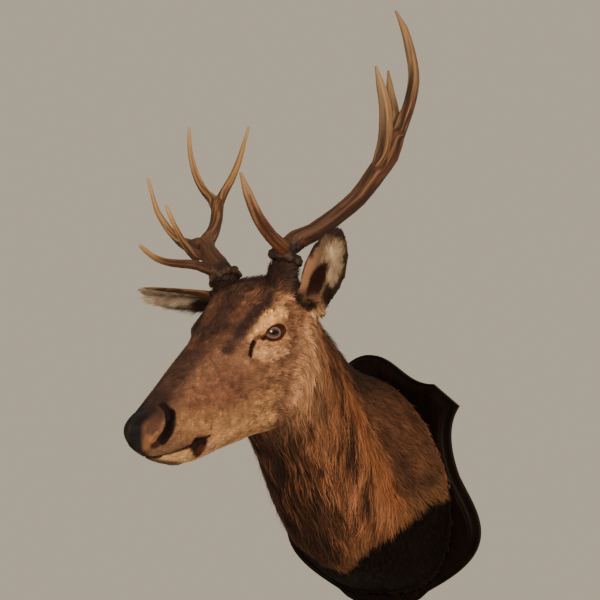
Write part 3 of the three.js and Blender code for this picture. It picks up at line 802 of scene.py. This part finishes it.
def tanned_hide():
    """Hide under its own short fur: matt and finely streaked, but moist-looking and pebbled
    where it is bare, on the nose, lips and lids. The streaks are drawn 1 mm apart, because
    single hairs are too fine to show."""
    material, tree = blank_material("tanned deer hide")
    colour = add(tree, "Attribute", attribute_name="coat").outputs["Color"]
    moist = add(tree, "Attribute", attribute_name="moist").outputs["Fac"]
    place = add(tree, "TexCoord").outputs["Object"]
    turned = add(tree, "Mapping", {"Vector": place, "Rotation": (-head_pitch, 0, 0),
                                   "Scale": (900, 160, 900)}).outputs[0]
    hairs = add(tree, "TexNoise", {"Vector": turned, "Scale": 1.0, "Detail": 3})
    pebbles = add(tree, "TexVoronoi", {"Vector": place, "Scale": 620.0}, feature="SMOOTH_F1")
    grain = add(tree, "Mix", {"Factor": moist, "A": hairs.outputs["Fac"], "B": pebbles.outputs["Distance"]})
    bump = add(tree, "Bump", {"Height": grain.outputs["Result"], "Strength": 0.4, "Distance": 0.0007})
    shade = add(tree, "MapRange", {"Value": hairs.outputs["Fac"], "From Min": 0.3, "From Max": 0.7,
                                   "To Min": 0.72, "To Max": 1.12})
    tint = add(tree, "VectorMath", {0: colour, "Scale": shade.outputs[0]}, operation="SCALE")
    rough = add(tree, "MapRange", {"Value": moist, "To Min": 0.9, "To Max": 0.5})
    shader = add(tree, "BsdfPrincipled", {
        "Base Color": tint.outputs[0], "Roughness": rough.outputs[0], "Normal": bump.outputs[0],
        "Specular IOR Level": 0.16})
    add(tree, "OutputMaterial", {"Surface": shader.outputs[0]})
    return material


skin_ear = ear_share(skin_places)
skin_colours, skin_bare = markings(skin_plain, skin_normals, skin_ear)
give_values(skin_mesh, "coat", skin_colours * (0.8 + 0.2 * skin_bare)[:, None])
moist = soft(near_path(in_head(skin_plain), dark_pad)[0], 10, 20)
moist += 0.5 * soft(np.linalg.norm(skin_spots - lids_middle, axis=1), 24, 30)
give_values(skin_mesh, "moist", skin_bare * moist * soft(near_path(skin_spots, nostril)[0], 12, 9))
skin_mesh.shade_smooth()
make_piece("hide", skin_mesh, tanned_hide(), flesh)


# ---- Glass eyes ----
# A brown glass eye on each side, set behind the lids: a ball with a raised clear cornea, a
# long level pupil and a paler ring round the iris.

iris_middle = math.radians(53)  # how far the iris turns out of straight ahead
cornea_rise = 1.1 * mm
iris_half = (15, 9.9)  # mm along and across the opening
pupil_half = (8, 3.2)


def eye_mesh(sign):
    gaze = Vector((sign * math.sin(iris_middle), math.cos(iris_middle), 0.06)).normalized()
    ahead = Vector(from_head(np.array([gaze[:]]))[0] - head_middle)
    middle = Vector(from_head(np.array([eye_spot * (sign, 1, 1)]))[0]) * mm
    bm = bmesh.new()
    bmesh.ops.create_uvsphere(bm, u_segments=64, v_segments=40, radius=eye_radius * mm)
    for vert in bm.verts:
        height = vert.co.z / (eye_radius * mm)
        vert.co *= 1 + cornea_rise / (eye_radius * mm) * soft(np.array(height), 1.0, 0.72)
    turn = ahead.to_track_quat("Z", "Y").to_matrix().to_4x4()
    bmesh.ops.transform(bm, matrix=Matrix.Translation(middle) @ turn, verts=bm.verts)
    mesh = bpy.data.meshes.new("eye")
    bm.to_mesh(mesh)
    bm.free()
    mesh.shade_smooth()
    return mesh, middle, turn


def eye_glass(side, middle, turn):
    """Painted glass with a hard polish."""
    material, tree = blank_material(f"{side} glass eye")
    place = add(tree, "TexCoord").outputs["Object"]
    back = turn.to_3x3().inverted()
    moved = add(tree, "VectorMath", {0: place, 1: middle}, operation="SUBTRACT").outputs[0]
    axes = [add(tree, "VectorMath", {0: moved, 1: row}, operation="DOT_PRODUCT").outputs["Value"]
            for row in back]
    # The track's own x axis runs across the gaze; the sign of either axis doesn't matter here.
    flat = add(tree, "CombineXYZ", {"X": axes[0], "Y": axes[1], "Z": 0.0}).outputs[0]

    def ring(half):
        scaled = add(tree, "VectorMath", {0: flat, 1: (1 / (half[0] * mm), 1 / (half[1] * mm), 1)},
                     operation="MULTIPLY").outputs[0]
        return add(tree, "VectorMath", {0: scaled}, operation="LENGTH").outputs["Value"]

    streaks = add(tree, "TexNoise", {"Vector": flat, "Scale": 420.0, "Detail": 3})
    wobble = add(tree, "Math", {0: streaks.outputs["Fac"], 1: 0.16, 2: -0.08}, operation="MULTIPLY_ADD")
    iris = add(tree, "Math", {0: ring(iris_half), 1: wobble.outputs[0]}, operation="ADD").outputs[0]
    iris_colour = add(tree, "ValToRGB", {"Fac": iris}, [
        (0, "#2e1d17"), (0.55, "#46302a"), (0.7, "#705c53"), (0.82, "#604b42"), (0.95, "#3c2114")])
    pupil = add(tree, "MapRange", {"Value": ring(pupil_half), "From Min": 0.85, "From Max": 1.1})
    colour = add(tree, "Mix", {"Factor": pupil.outputs[0], "A": linear("#0b0808"),
                               "B": iris_colour.outputs["Color"]}, data_type="RGBA")
    shader = add(tree, "BsdfPrincipled", {
        "Base Color": colour.outputs["Result"], "Roughness": 0.07, "IOR": 1.38})
    add(tree, "OutputMaterial", {"Surface": shader.outputs[0]})
    return material


for side, sign in side_sign.items():
    ball, ball_middle, ball_turn = eye_mesh(sign)
    make_piece(f"eye_{side}_glass", ball, eye_glass(side, ball_middle, ball_turn), [f"eye_{side}"])


# ---- Coat ----
# The stag's winter coat, made as thousands of thin locks that root in the skin and lie the way
# the hair grows: short on the face, shaggy and long on the neck, short again over the shoulder.

skin_tree = BVHTree.FromPolygons([Vector(p) for p in skin_places * mm],
                                 [p.vertices for p in skin_mesh.polygons])
body_axis = [(0, -20, 10), (0, -150, 50), (0, -250, 112), (0, -335, 215), (0, -400, 255),
             (0, -480, 235), (0, -600, 195), (0, -735, 130)]  # world mm, from the board to the nose
patch = 0.003  # side of one lock's place on the coat's own flat map


def skin_triangles():
    skin_mesh.calc_loop_triangles()
    corners = np.empty((len(skin_mesh.loop_triangles), 3), np.int32)
    skin_mesh.loop_triangles.foreach_get("vertices", corners.ravel())
    a, b, c = (skin_places[corners[:, i]] for i in range(3))
    return corners, np.linalg.norm(np.cross(b - a, c - a), axis=1) / 2


triangles, triangle_areas = skin_triangles()


def roots(weight, amount, rng):
    """Random places on the skin, as many to a square millimetre as weight says, with the
    skin's normals and its share in an ear there."""
    share = triangle_areas * weight[triangles].mean(axis=1)
    total = np.cumsum(share)
    chosen = triangles[np.searchsorted(total, rng.uniform(0, total[-1], amount))]
    u, v = rng.uniform(size=(2, amount))
    fold = u + v > 1
    u, v = np.where(fold, 1 - u, u), np.where(fold, 1 - v, v)

    def between(values):
        a, b, c = (values[chosen[:, i]].T for i in range(3))
        return (a + (b - a) * u + (c - a) * v).T

    return between(skin_places), unit(between(skin_normals)), between(skin_ear)


def nearest_skin(places):
    ground, normals = np.empty_like(places), np.empty_like(places)
    for i, place in enumerate(places):
        spot, normal, _, _ = skin_tree.find_nearest(place)
        ground[i], normals[i] = spot, normal
    return ground, normals


def flow(places, normals, ear):
    """The way the coat lies, along the skin."""
    spots = in_head(places)
    outward = np.sign(spots[:, 0]) * soft(np.abs(spots[:, 0]), 30, 0)
    low = soft(spots[:, 2], -120, 20)
    rear = soft(spots[:, 1], -60, 60)
    head_way = np.column_stack([0.15 * outward, np.full(len(spots), -1.0), 0.12 - 0.5 * low * rear])
    above_eye = np.exp(-(np.linalg.norm(folded(spots) - eye_spot - (0, 10, 26), axis=1) / 24) ** 2)
    head_way[:, 2] += 0.5 * above_eye
    head_way = from_head(head_way) - head_middle
    cape = soft(cape_side(places), 40, -10)[:, None]
    neck_way = np.array((0, 0.2, -1.0)) + cape * (0, 0.5, 0.15)
    back = soft(behind_head(places), 15, -85)[:, None]
    way = head_way * (1 - back) + neck_way * back
    for side, sign in side_sign.items():
        here = ear * (np.sign(places[:, 0]) == sign)
        way = way + (unit(np.array(ears[side][1])) - way) * here[:, None]
    return unit(way - normals * (way * normals).sum(axis=1, keepdims=True))


def hair_length(places, ear):
    behind = behind_head(places)
    length = np.interp(behind, [-330, -260, -150, -90, -50, -10, 40, 120],
                       [4, 7, 11, 15, 22, 32, 48, 60])
    length = length + (24 - length) * soft(cape_side(places), 32, 0) * soft(behind, 60, 10)
    spots = in_head(places)
    length = length + 3 * soft(spots[:, 2], 75, 50) * soft(behind, -40, -20)
    length = length * (1 - 0.45 * soft(np.linalg.norm(folded(spots) - eye_spot, axis=1), 28, 60))
    gap = np.min([near_path(folded(spots), path)[0] - reach for path, reach in bare_paths], axis=0)
    seen, _, _ = by_eye(folded(spots))
    gap = np.minimum(gap, np.where(seen[:, 2] > 0, lid_gap(seen[:, 0], seen[:, 1]) - 2, 99))
    length = np.minimum(length, 1.2 + 0.8 * np.maximum(gap, 0))
    foot = np.min([np.linalg.norm(spots - ear_root, axis=1) for ear_root, _, _ in ears.values()], axis=0)
    length = np.minimum(length, 8 + 0.5 * np.maximum(foot - 34, 0))
    length = length + 5 * soft(np.linalg.norm(places - ear_tuft, axis=1), 14, 20)
    length = length + (7 - length) * ear
    room = np.maximum(places[:, 2] - hem_height(places), 0) + 11 + 5 * mottle(places, 9, 8)
    return np.where(behind > 60, np.minimum(length, room), length)


def swung(ways, normals, angles):
    side = np.cross(normals, ways)
    return ways * np.cos(angles)[:, None] + side * np.sin(angles)[:, None]


def lock_paths(places, normals, ear, lengths, heights, joints, rng, stray):
    """Points along each lock, from its root to its tip, and the skin's normals there. Locks of
    several joints follow the body's curve."""
    paths, ups = [places - normals * 0.8], [normals]
    here, up = places, normals
    angles = rng.normal(0, stray, len(places)) + 0.3 * mottle(places, 34, 70)
    for step in range(1, joints + 1):
        share = step / joints
        sway = 0.34 * mottle(here, 17, 71) * (joints > 1)
        here = here + swung(flow(here, up, ear), up, angles + sway) * (lengths / joints)[:, None]
        lift = heights * (0.8 * share ** 0.5)
        if joints > 2:
            here, up = nearest_skin(here * mm)
            here = here / mm
        paths.append(here + up * lift[:, None])
        ups.append(up)
    return np.stack(paths, axis=1), np.stack(ups, axis=1)


def gather(paths, cell, pull):
    """Draws the tips of neighbouring locks together; also gives each tuft a number."""
    root = paths[:, 0] + 0.25 * cell * np.stack([mottle(paths[:, 0], cell, 60 + i) for i in range(3)], axis=1)
    keys = np.floor(root / cell).astype(np.int64) @ cell_primes
    _, tuft = np.unique(keys, return_inverse=True)
    many = np.bincount(tuft)
    centre = np.stack([np.bincount(tuft, column) / many for column in paths[:, 0].T], axis=1)[tuft]
    shares = np.linspace(0, 1, paths.shape[1]) ** 1.3
    drawn = paths + ((centre - paths[:, 0])[:, None] * shares[:, None] * pull)
    return drawn, tuft


def lock_mesh(name, paths, ups, widths, colours, flat, ends):
    """Three-sided locks that taper to a point, all in one mesh, with their flat map."""
    count, points = paths.shape[:2]
    ways = unit(np.gradient(paths, axis=1))
    sides = unit(np.cross(ways, ups))
    tops = unit(np.cross(sides, ways))
    taper = np.interp(np.arange(points - 1), [0, (points - 1) * 0.5, points - 1], [0.85, 1, 0.45])
    half = (widths[:, None] / 2 * taper)[..., None]
    body, side, top = paths[:, :-1], sides[:, :-1], tops[:, :-1]
    rings = np.stack([body - side * half, body + side * half, body + top * half * 0.7], axis=2)
    places = np.concatenate([rings.reshape(count, -1, 3), paths[:, -1:]], axis=1)
    round_off = np.stack([-side, side, top], axis=2) * 0.32 + ups[:, :-1, None]
    soft_normals = np.concatenate([round_off.reshape(count, -1, 3), ups[:, -1:]], axis=1)
    faces = [(0, 1, 2)]
    for ring in range(points - 2):
        for i in range(3):
            a, b = ring * 3 + i, ring * 3 + (i + 1) % 3
            faces += [(a, a + 3, b), (b, a + 3, b + 3)]
    last, tip = (points - 2) * 3, (points - 1) * 3
    faces += [(last + i, tip, last + (i + 1) % 3) for i in range(3)]
    corners = (np.array(faces)[None] + (np.arange(count) * (tip + 1))[:, None, None]).reshape(-1, 3)

    mesh = bpy.data.meshes.new(name)
    mesh.vertices.add(count * (tip + 1))
    mesh.vertices.foreach_set("co", (places * mm).ravel())
    mesh.loops.add(corners.size)
    mesh.loops.foreach_set("vertex_index", corners.ravel().astype(np.int32))
    mesh.polygons.add(len(corners))
    mesh.polygons.foreach_set("loop_start", np.arange(0, corners.size, 3, dtype=np.int32))
    mesh.update(calc_edges=True)
    shade = np.append(np.repeat(np.linspace(*ends, points)[:-1], 3), ends[1])
    give_values(mesh, "coat", (colours[:, None] * shade[None, :, None]).reshape(-1, 3))
    across = np.append(np.tile((0.1, 0.9, 0.5), points - 1), 0.5) - 0.5
    down = np.append(np.repeat(np.arange(points - 1) / (points - 1), 3), 1.0) - 0.5
    place = flat[:, None] + np.stack([across, down], axis=1)[None] * patch
    chart = mesh.uv_layers.new(name="OFBake")
    chart.uv.foreach_set("vector", place.reshape(-1, 2)[corners.ravel()].astype(np.float32).ravel())
    mesh.shade_smooth()
    mesh.normals_split_custom_set_from_vertices(unit(soft_normals).reshape(-1, 3))
    return mesh


def unrolled(places, normals, ear):
    """The skin's own shape laid flat: round the body one way and along it the other. The ears
    lie beside it, each with its back and its hollow apart."""
    _, along = near_path(places, body_axis)
    axis = np.array(body_axis, float)
    marks = np.append(0, np.cumsum(np.linalg.norm(np.diff(axis, axis=0), axis=1)))
    marks /= marks[-1]

    def on_axis(share):
        return np.stack([np.interp(share, marks, column) for column in axis.T], axis=1)

    upward = np.cross((1, 0, 0), unit(on_axis(along + 0.02) - on_axis(along - 0.02)))
    rest = places - on_axis(along)
    around = np.arctan2(rest[:, 0], (rest * upward).sum(axis=1)) / (2 * math.pi) + 0.5
    flat = np.column_stack([around, along])
    for row, (side, sign) in enumerate(side_sign.items()):
        share, across, _ = on_ear(places, side)
        here = (ear > 0.5) & (np.sign(places[:, 0]) == sign)
        inside = normals @ unit(np.array(ears[side][2])) > 0.1
        lean = 1.3 + row + across / 100 * 0.45 + 0.5 * inside
        flat[here] = np.column_stack([lean, share])[here]
    low, high = flat.min(axis=0), flat.max(axis=0)
    return 0.01 + 0.98 * (flat - low) / (high - low)


def hair():
    """Deer hair is hollow and stiff, so it has only a low, broad shine."""
    material, tree = blank_material("deer hair")
    colour = add(tree, "Attribute", attribute_name="coat").outputs["Color"]
    shader = add(tree, "BsdfPrincipled", {
        "Base Color": colour, "Roughness": 0.62, "Specular IOR Level": 0.14})
    add(tree, "OutputMaterial", {"Surface": shader.outputs[0]})
    return material


def grow_coat(name, seed, where, *, amount, joints, width, stray, tuft_size, pull, contrast,
              stretch=1.0, rise=1.0, single=0.2, ends=(0.6, 1.3)):
    """Grows one piece of the coat. where weighs the skin's places; width and tuft_size are in mm;
    stretch and rise multiply the locks' length and height; stray is in radians; pull draws a
    tuft's tips together; contrast and single vary the tone by tuft and by lock; and ends are the
    shades of root and tip."""
    rng = np.random.default_rng(seed)
    places, normals, ear = roots(where, amount, rng)
    colours, _ = markings(places, normals, ear)
    lengths = hair_length(places, ear) * rng.uniform(0.7, 1.2, amount) * stretch
    heights = coat_depth(places, in_head(places)) * rng.uniform(0.45, 1.0, amount) * rise
    heights = np.minimum(heights, 0.6 * lengths)
    paths, ups = lock_paths(places, normals, ear, lengths, heights, joints, rng, stray)
    paths, tuft = gather(paths, tuft_size, pull)
    tones = np.exp(rng.normal(0, contrast, tuft.max() + 1)[tuft] + rng.normal(0, single, amount))
    colours = colours * np.clip(tones, 0.4, 1.8)[:, None]
    mesh = lock_mesh(name, paths, ups, width * rng.uniform(0.75, 1.25, amount), colours,
                     unrolled(places, normals, ear), ends)
    make_piece(name, mesh, fur)


fur = hair()
behind_here = behind_head(skin_places)
growing = (1 - skin_bare) * (1 - soft(skin_places[:, 1], -27, -31))  # from just in front of the board
seen_here, _, _ = by_eye(folded(in_head(skin_places)))
growing *= 1 - soft(np.linalg.norm(seen_here, axis=1), 19.5, 20.5)
body_here = growing * (1 - skin_ear)
sides_here = soft(cape_side(skin_places), 0, -20)
left_here = (skin_places[:, 0] > 0).astype(float)
face_here = body_here * soft(behind_here, -150, -140)
cheeks_here = body_here * soft(behind_here, -146, -150) * soft(behind_here, -55, -48)
neck_here = body_here * soft(behind_here, -50, -55)
mane_here = neck_here * (1 - sides_here)
cape_here = neck_here * sides_here
above_hem = skin_places[:, 2] - hem_height(skin_places)
shag_here = mane_here * (0.35 + soft(above_hem, 90, 160)) * soft(above_hem, 52, 34)
halves = {"left": left_here, "right": 1 - left_here}
inside_ear = np.zeros(len(skin_places))
for side, sign in side_sign.items():
    along, across = ear_spread(skin_plain, side)
    lined = soft(across, 0.0, 0.2) * soft(across, -0.36, -0.56)
    lined = lined * soft(along, 0.3, 0.2) * soft(along, 0.7, 0.84)
    if side == "right":
        lined = soft(across, -0.5, -0.2) * soft(along, 0.16, 0.08) * soft(along, 0.7, 0.88)
    lined = lined * (np.sign(skin_plain[:, 0]) == sign)
    inside_ear += lined * soft(skin_normals @ unit(np.array(ears[side][2])), 0.3, 0) * skin_ear

grow_coat("coat_face", 100, face_here, amount=48500, joints=1, width=0.65, stray=0.4,
          tuft_size=4.5, pull=0.6, contrast=0.34, single=0.22, ends=(0.45, 1.5))
grow_coat("coat_cheeks", 101, cheeks_here, amount=19500, joints=2, width=0.8, stray=0.3,
          tuft_size=6, pull=0.7, contrast=0.34, ends=(0.5, 1.4))
for seed, (side, half) in enumerate(halves.items(), 102):
    grow_coat(f"mane_{side}", seed, mane_here * half, amount=11500, joints=3, width=0.95, rise=0.85,
              stray=0.12, tuft_size=9, pull=0.75, contrast=0.3, single=0.12, ends=(0.7, 1.2))
grow_coat("mane_shag", 104, shag_here, amount=8600, joints=4, width=1.05, stretch=1.2, rise=1.15,
          stray=0.08, tuft_size=11, pull=0.9, contrast=0.34, single=0.12, ends=(0.7, 1.25))
for seed, (side, half) in enumerate(halves.items(), 105):
    grow_coat(f"coat_shoulder_{side}", seed, cape_here * half, amount=17000, joints=2, width=0.9,
              stray=0.2, tuft_size=7, pull=0.6, contrast=0.22)
grow_coat("coat_ears", 107, skin_ear * growing, amount=20000, joints=1, width=0.5, stretch=0.8,
          stray=0.3, tuft_size=4, pull=0.3, contrast=0.16)
grow_coat("ear_lining_left", 108, inside_ear * left_here, amount=2200, joints=2, width=0.45,
          stretch=2.2, rise=3.0, stray=0.25, tuft_size=5, pull=0.5, contrast=0.2, ends=(0.8, 1.3))
grow_coat("ear_lining_right", 109, inside_ear * (1 - left_here), amount=4200, joints=2, width=0.5,
          stretch=3.0, rise=11.0, stray=0.3, tuft_size=7, pull=0.5, contrast=0.12, single=0.1,
          ends=(0.9, 1.3))


# ---- Antlers ----
# Solid bone, shed of its velvet: a rough dark burr, beams with lengthwise grooves and rows of
# pearls, stained brown by bark, and tines rubbed ivory at their ends. Each is one piece. The right
# antler and the left brow tine are painted lighter, as painted light.

antler_limbs = {
    "left": ("beam", "brow_tine", "trez_tine", "main_top", "rear_top"),
    "right": ("beam", "brow_tine", "bez_tine", "trez_tine", "main_top", "rear_top"),
}
burrs = {"left": (63, -418, 389), "right": (-52, -418, 372)}  # middle of each burr, world mm
limb_overlap = 0.3 * mm
antler_voxel = 1.35 * mm
groove_round = 3.2  # mm round a limb of one grain of its grooves
groove_long = 90
burr_radius = 22
rod_gap = 500  # mm between the limbs' places in the pattern of the grooves
tine_swell = {"left": 1.3, "right": -1.3}  # mm more or less all round the outer part of each tine
rubbed = {"beam": 60, "brow_tine": 90, "bez_tine": 120, "trez_tine": 190, "main_top": 220, "rear_top": 230}


def joined_limbs(nodes):
    """The solids of an antler in one mesh, grown until they meet."""
    bm = bmesh.new()
    for name in nodes:
        bm.from_mesh(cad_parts[name].data)
    bmesh.ops.remove_doubles(bm, verts=bm.verts, dist=0.01 * mm)
    bm.normal_update()
    for vert in bm.verts:
        vert.co += vert.normal * limb_overlap
    mesh = bpy.data.meshes.new("antler")
    bm.to_mesh(mesh)
    bm.free()
    return mesh


def travel(places, edges, starts):
    """The shortest way over the surface from the starts to every vertex, in mm."""
    lengths = np.linalg.norm(places[edges[:, 0]] - places[edges[:, 1]], axis=1).tolist()
    links = [[] for _ in range(len(places))]
    for (a, b), length in zip(edges.tolist(), lengths):
        links[a].append((b, length))
        links[b].append((a, length))
    reached = [math.inf] * len(places)
    queue = [(0.0, int(start)) for start in starts]
    for _, start in queue:
        reached[start] = 0.0
    while queue:
        so_far, here = heapq.heappop(queue)
        if so_far > reached[here]:
            continue
        for there, length in links[here]:
            if so_far + length < reached[there]:
                reached[there] = so_far + length
                heapq.heappush(queue, (so_far + length, there))
    return np.array(reached)


def nearest_limb(places, nodes):
    """Which of the limbs each place belongs to."""
    trees = [node_tree(name) for name in nodes]
    return np.array([min(range(len(trees)), key=lambda i: trees[i].find_nearest(place)[3])
                     for place in map(Vector, places * mm)])


def round_limb(places, limb, reach):
    """Each place as a point on a straight rod of its limb: round it and along it, in mm."""
    rod = np.zeros_like(places)
    slice_length = 9
    for number in range(limb.max() + 1):
        here = np.flatnonzero(limb == number)
        slices = np.floor((reach[here] - reach[here].min()) / slice_length).astype(int)
        many = np.maximum(np.bincount(slices), 1)
        middles = np.stack([np.bincount(slices, column) / many for column in places[here].T], axis=1)
        marks = (np.arange(len(middles)) + 0.5) * slice_length
        share = reach[here] - reach[here].min()
        middle = np.stack([np.interp(share, marks, column) for column in middles.T], axis=1)
        way = unit(middles[-1] - middles[0])
        aside = unit(np.cross(way, np.eye(3)[np.argmin(np.abs(way))]))
        other = np.cross(way, aside)
        rest = unit(places[here] - middle)
        thick = 11
        round_way = thick * rest @ aside, thick * rest @ other
        rod[here] = np.column_stack([*round_way, reach[here] + rod_gap * number])
    return rod


def antler_mesh(side, seed):
    nodes = [f"antler_{side}_{limb}" for limb in antler_limbs[side]]
    mesh = remeshed(joined_limbs(nodes), antler_voxel)
    places, edges, _ = read_mesh(mesh)
    places = smoothed(places, edges, 24)
    burr = np.array(burrs[side])
    ends = []
    for name in nodes[1:]:
        corners, _, _ = read_mesh(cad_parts[name].data)
        ends.append(corners[np.argmax(np.linalg.norm(corners - burr, axis=1))])
    tips = [np.argmin(np.linalg.norm(places - end, axis=1)) for end in ends]
    at_burr = np.flatnonzero(np.linalg.norm(places - burr, axis=1) < burr_radius)
    from_burr = travel(places, edges, at_burr)
    from_tip = travel(places, edges, tips)
    limb = nearest_limb(places, nodes)
    fork = np.zeros((len(places), 1))
    fork[edges[limb[edges[:, 0]] != limb[edges[:, 1]]]] = 1
    web = np.clip(9 * smoothed(fork, edges, 24, 1, 0.5), 0, 1)
    places = smoothed(places, edges, 12, web, 0.5)
    thicker = tine_swell[side] * soft(from_tip, 40, 8) * soft(from_tip, 110, 230) + 0.6 * web[:, 0]
    places = places + move_mesh(mesh, places) * thicker[:, None]
    normals = move_mesh(mesh, places)
    rod = round_limb(places, limb, from_burr)
    fork = np.clip(5 * smoothed(fork, edges, 4, 1, 0.5)[:, 0], 0, 1)
    long_rod = rod * (1, 1, groove_round / groove_long)
    broad = mottle(long_rod, 2.2 * groove_round, seed + 4)
    fine = mottle(long_rod, groove_round, seed + 5)
    hairline = mottle(rod * (1, 1, 0.05), 1.5, seed + 6)
    broad = smoothed(broad[:, None], edges, 1, 1, 0.5)[:, 0]
    rough = soft(from_burr, 1, 17)
    near_tip = soft(from_tip, 20, 110)
    grooved = (1 - 0.85 * near_tip) * (1 - 0.6 * rough) * (1 - 0.8 * fork)
    pearls = np.maximum(mottle(places, 3.2, seed + 1), 0) ** 2 * soft(from_burr, 10, 200)
    knobs = rough * (1.7 * mottle(places, 6, seed + 2) + 0.9 * mottle(places, 2.8, seed + 3))
    relief = grooved * (0.6 * broad + 1.2 * fine + 0.5 * hairline) + 0.9 * pearls + knobs
    normals = move_mesh(mesh, places + normals * relief[:, None])

    high = (0.4 * broad + 0.8 * fine + 0.45 * hairline) * (1 - 0.7 * fork)
    bark = np.tile(linear("#492d1e")[:3], (len(places), 1))
    bark = paint(bark, "#22130d", 0.8 * soft(high, -0.4, 0.12))
    bark = paint(bark, "#8a6440", 0.46 * soft(high, 0.6, 0.16))
    bark = paint(bark, "#351c14", 0.75 * soft(from_burr, 60, 220) * soft(high, 0.6, -0.3))
    bark = paint(bark, "#2a1b14", 0.85 * soft(from_burr, 4, 24))
    bark = paint(bark, "#18100d", 0.85 * rough)
    reach = np.array([rubbed[name] for name in antler_limbs[side]], float)[limb]
    # Painted light: the right antler is made lighter all over, and the left brow tine twice as light, for the
    # light that falls on them.
    tone = np.where(limb == 1, 2.0, 1.0) if side == "left" else np.full(len(places), 1.3)
    reach, tone = smoothed(np.column_stack([reach, tone]), edges, 30, 1, 0.5).T
    bark = bark * tone[:, None]
    pale = soft(from_tip - 0.4 * reach * high, 0.15 * reach, reach)
    # The right antler's paler ends stand partly for rubbed ivory and partly for painted highlight.
    bark = paint(bark, "#967857" if side == "left" else "#a98458", 0.76 * pale)
    bark = paint(bark, "#857052" if side == "left" else "#b89c6c", 0.45 * soft(from_tip, 6, 50))
    give_values(mesh, "rod", rod)
    give_values(mesh, "grooved", grooved)
    give_values(mesh, "bone", bark)
    give_values(mesh, "worn", near_tip)
    mesh.shade_smooth()
    return mesh


def antler_bone():
    """Antler: dull and porous where it is brown, with a low polish on the rubbed ends."""
    material, tree = blank_material("stained antler bone")
    colour = add(tree, "Attribute", attribute_name="bone").outputs["Color"]
    worn = add(tree, "Attribute", attribute_name="worn").outputs["Fac"]
    place = add(tree, "TexCoord").outputs["Object"]
    pores = add(tree, "TexNoise", {"Vector": place, "Scale": 900.0, "Detail": 4})
    rod = add(tree, "Attribute", attribute_name="rod").outputs["Color"]
    grooved = add(tree, "Attribute", attribute_name="grooved").outputs["Fac"]
    long_rod = add(tree, "VectorMath", {0: rod, 1: (0.9, 0.9, 0.022)}, operation="MULTIPLY").outputs[0]
    grooves = add(tree, "TexNoise", {"Vector": long_rod, "Scale": 1.0, "Detail": 3}).outputs["Fac"]
    height = add(tree, "Mix", {"Factor": grooved, "A": pores.outputs["Fac"], "B": grooves})
    bump = add(tree, "Bump", {"Height": height.outputs["Result"], "Strength": 0.7, "Distance": 0.0012})
    stain = add(tree, "MapRange", {"Value": grooves, "From Min": 0.35, "From Max": 0.65, "To Min": 0.76,
                                   "To Max": 1.22})
    stain = add(tree, "Mix", {"Factor": grooved, "A": 1.0, "B": stain.outputs[0]}).outputs["Result"]
    colour = add(tree, "VectorMath", {0: colour, "Scale": stain}, operation="SCALE").outputs[0]
    rough = add(tree, "MapRange", {"Value": worn, "To Min": 0.58, "To Max": 0.4})
    shader = add(tree, "BsdfPrincipled", {
        "Base Color": colour, "Roughness": rough.outputs[0], "Normal": bump.outputs[0],
        "Specular IOR Level": 0.28})
    add(tree, "OutputMaterial", {"Surface": shader.outputs[0]})
    return material


bone = antler_bone()
for seed, side in enumerate(antler_limbs):
    make_piece(f"antler_{side}", antler_mesh(side, 40 + 10 * seed), bone,
               [f"antler_{side}_{limb}" for limb in antler_limbs[side]])


# ---- Floor, light and camera ----
# A matt pale floor well below the mount, a warm key lamp high on the stag's left, a weak fill
# on its right, and the camera a little below its eyes, in front and to its left.

floor_depth = 0.9  # metres below the middle of the board

floor_mesh = bpy.data.meshes.new("floor")
bm = bmesh.new()
bmesh.ops.create_grid(bm, x_segments=1, y_segments=1, size=2.6)
bmesh.ops.translate(bm, verts=bm.verts, vec=(0, 0, -floor_depth))
bm.to_mesh(floor_mesh)
bm.free()
floor = bpy.data.objects.new("floor", floor_mesh)
bpy.context.scene.collection.objects.link(floor)
material, tree = blank_material("pale floor")
shader = add(tree, "BsdfPrincipled", {"Base Color": linear("#c9c4bc"), "Roughness": 0.9})
add(tree, "OutputMaterial", {"Surface": shader.outputs[0]})
floor_mesh.materials.append(material)

world = bpy.data.worlds.new("studio")
bpy.context.scene.world = world
world.use_nodes = True
world.node_tree.nodes["Background"].inputs["Color"].default_value = linear("#d8cab2")
world.node_tree.nodes["Background"].inputs["Strength"].default_value = 0.72


def softbox(name, place, aim, size, watts, colour):
    """A round lamp with a broad soft face, turned to its aim; places and size in metres."""
    light = bpy.data.lights.new(name, "AREA")
    light.shape = "DISK"
    light.size = size
    light.energy = watts
    light.color = linear(colour)[:3]
    lamp = bpy.data.objects.new(name, light)
    lamp.location = place
    lamp.rotation_euler = (Vector(aim) - Vector(place)).to_track_quat("-Z", "Y").to_euler()
    bpy.context.scene.collection.objects.link(lamp)


softbox("key", (1.9, -2.3, 0.75), (0, -0.4, 0.2), 0.9, 93, "#ffe7cc")
softbox("fill", (-1.4, -2.4, 0.1), (0, -0.4, 0.2), 1.4, 13, "#f6efe8")

camera_data = bpy.data.cameras.new("camera")
camera_data.lens = 54
camera_data.sensor_width = 36
camera = bpy.data.objects.new("camera", camera_data)
camera.matrix_world = Matrix((
    (0.8691, 0.1137, 0.4814, 0.7472),
    (0.4917, -0.0928, -0.8658, -1.6099),
    (-0.0538, 0.9892, -0.1366, 0.1316),
    (0, 0, 0, 1)))
bpy.context.scene.collection.objects.link(camera)
bpy.context.scene.camera = camera
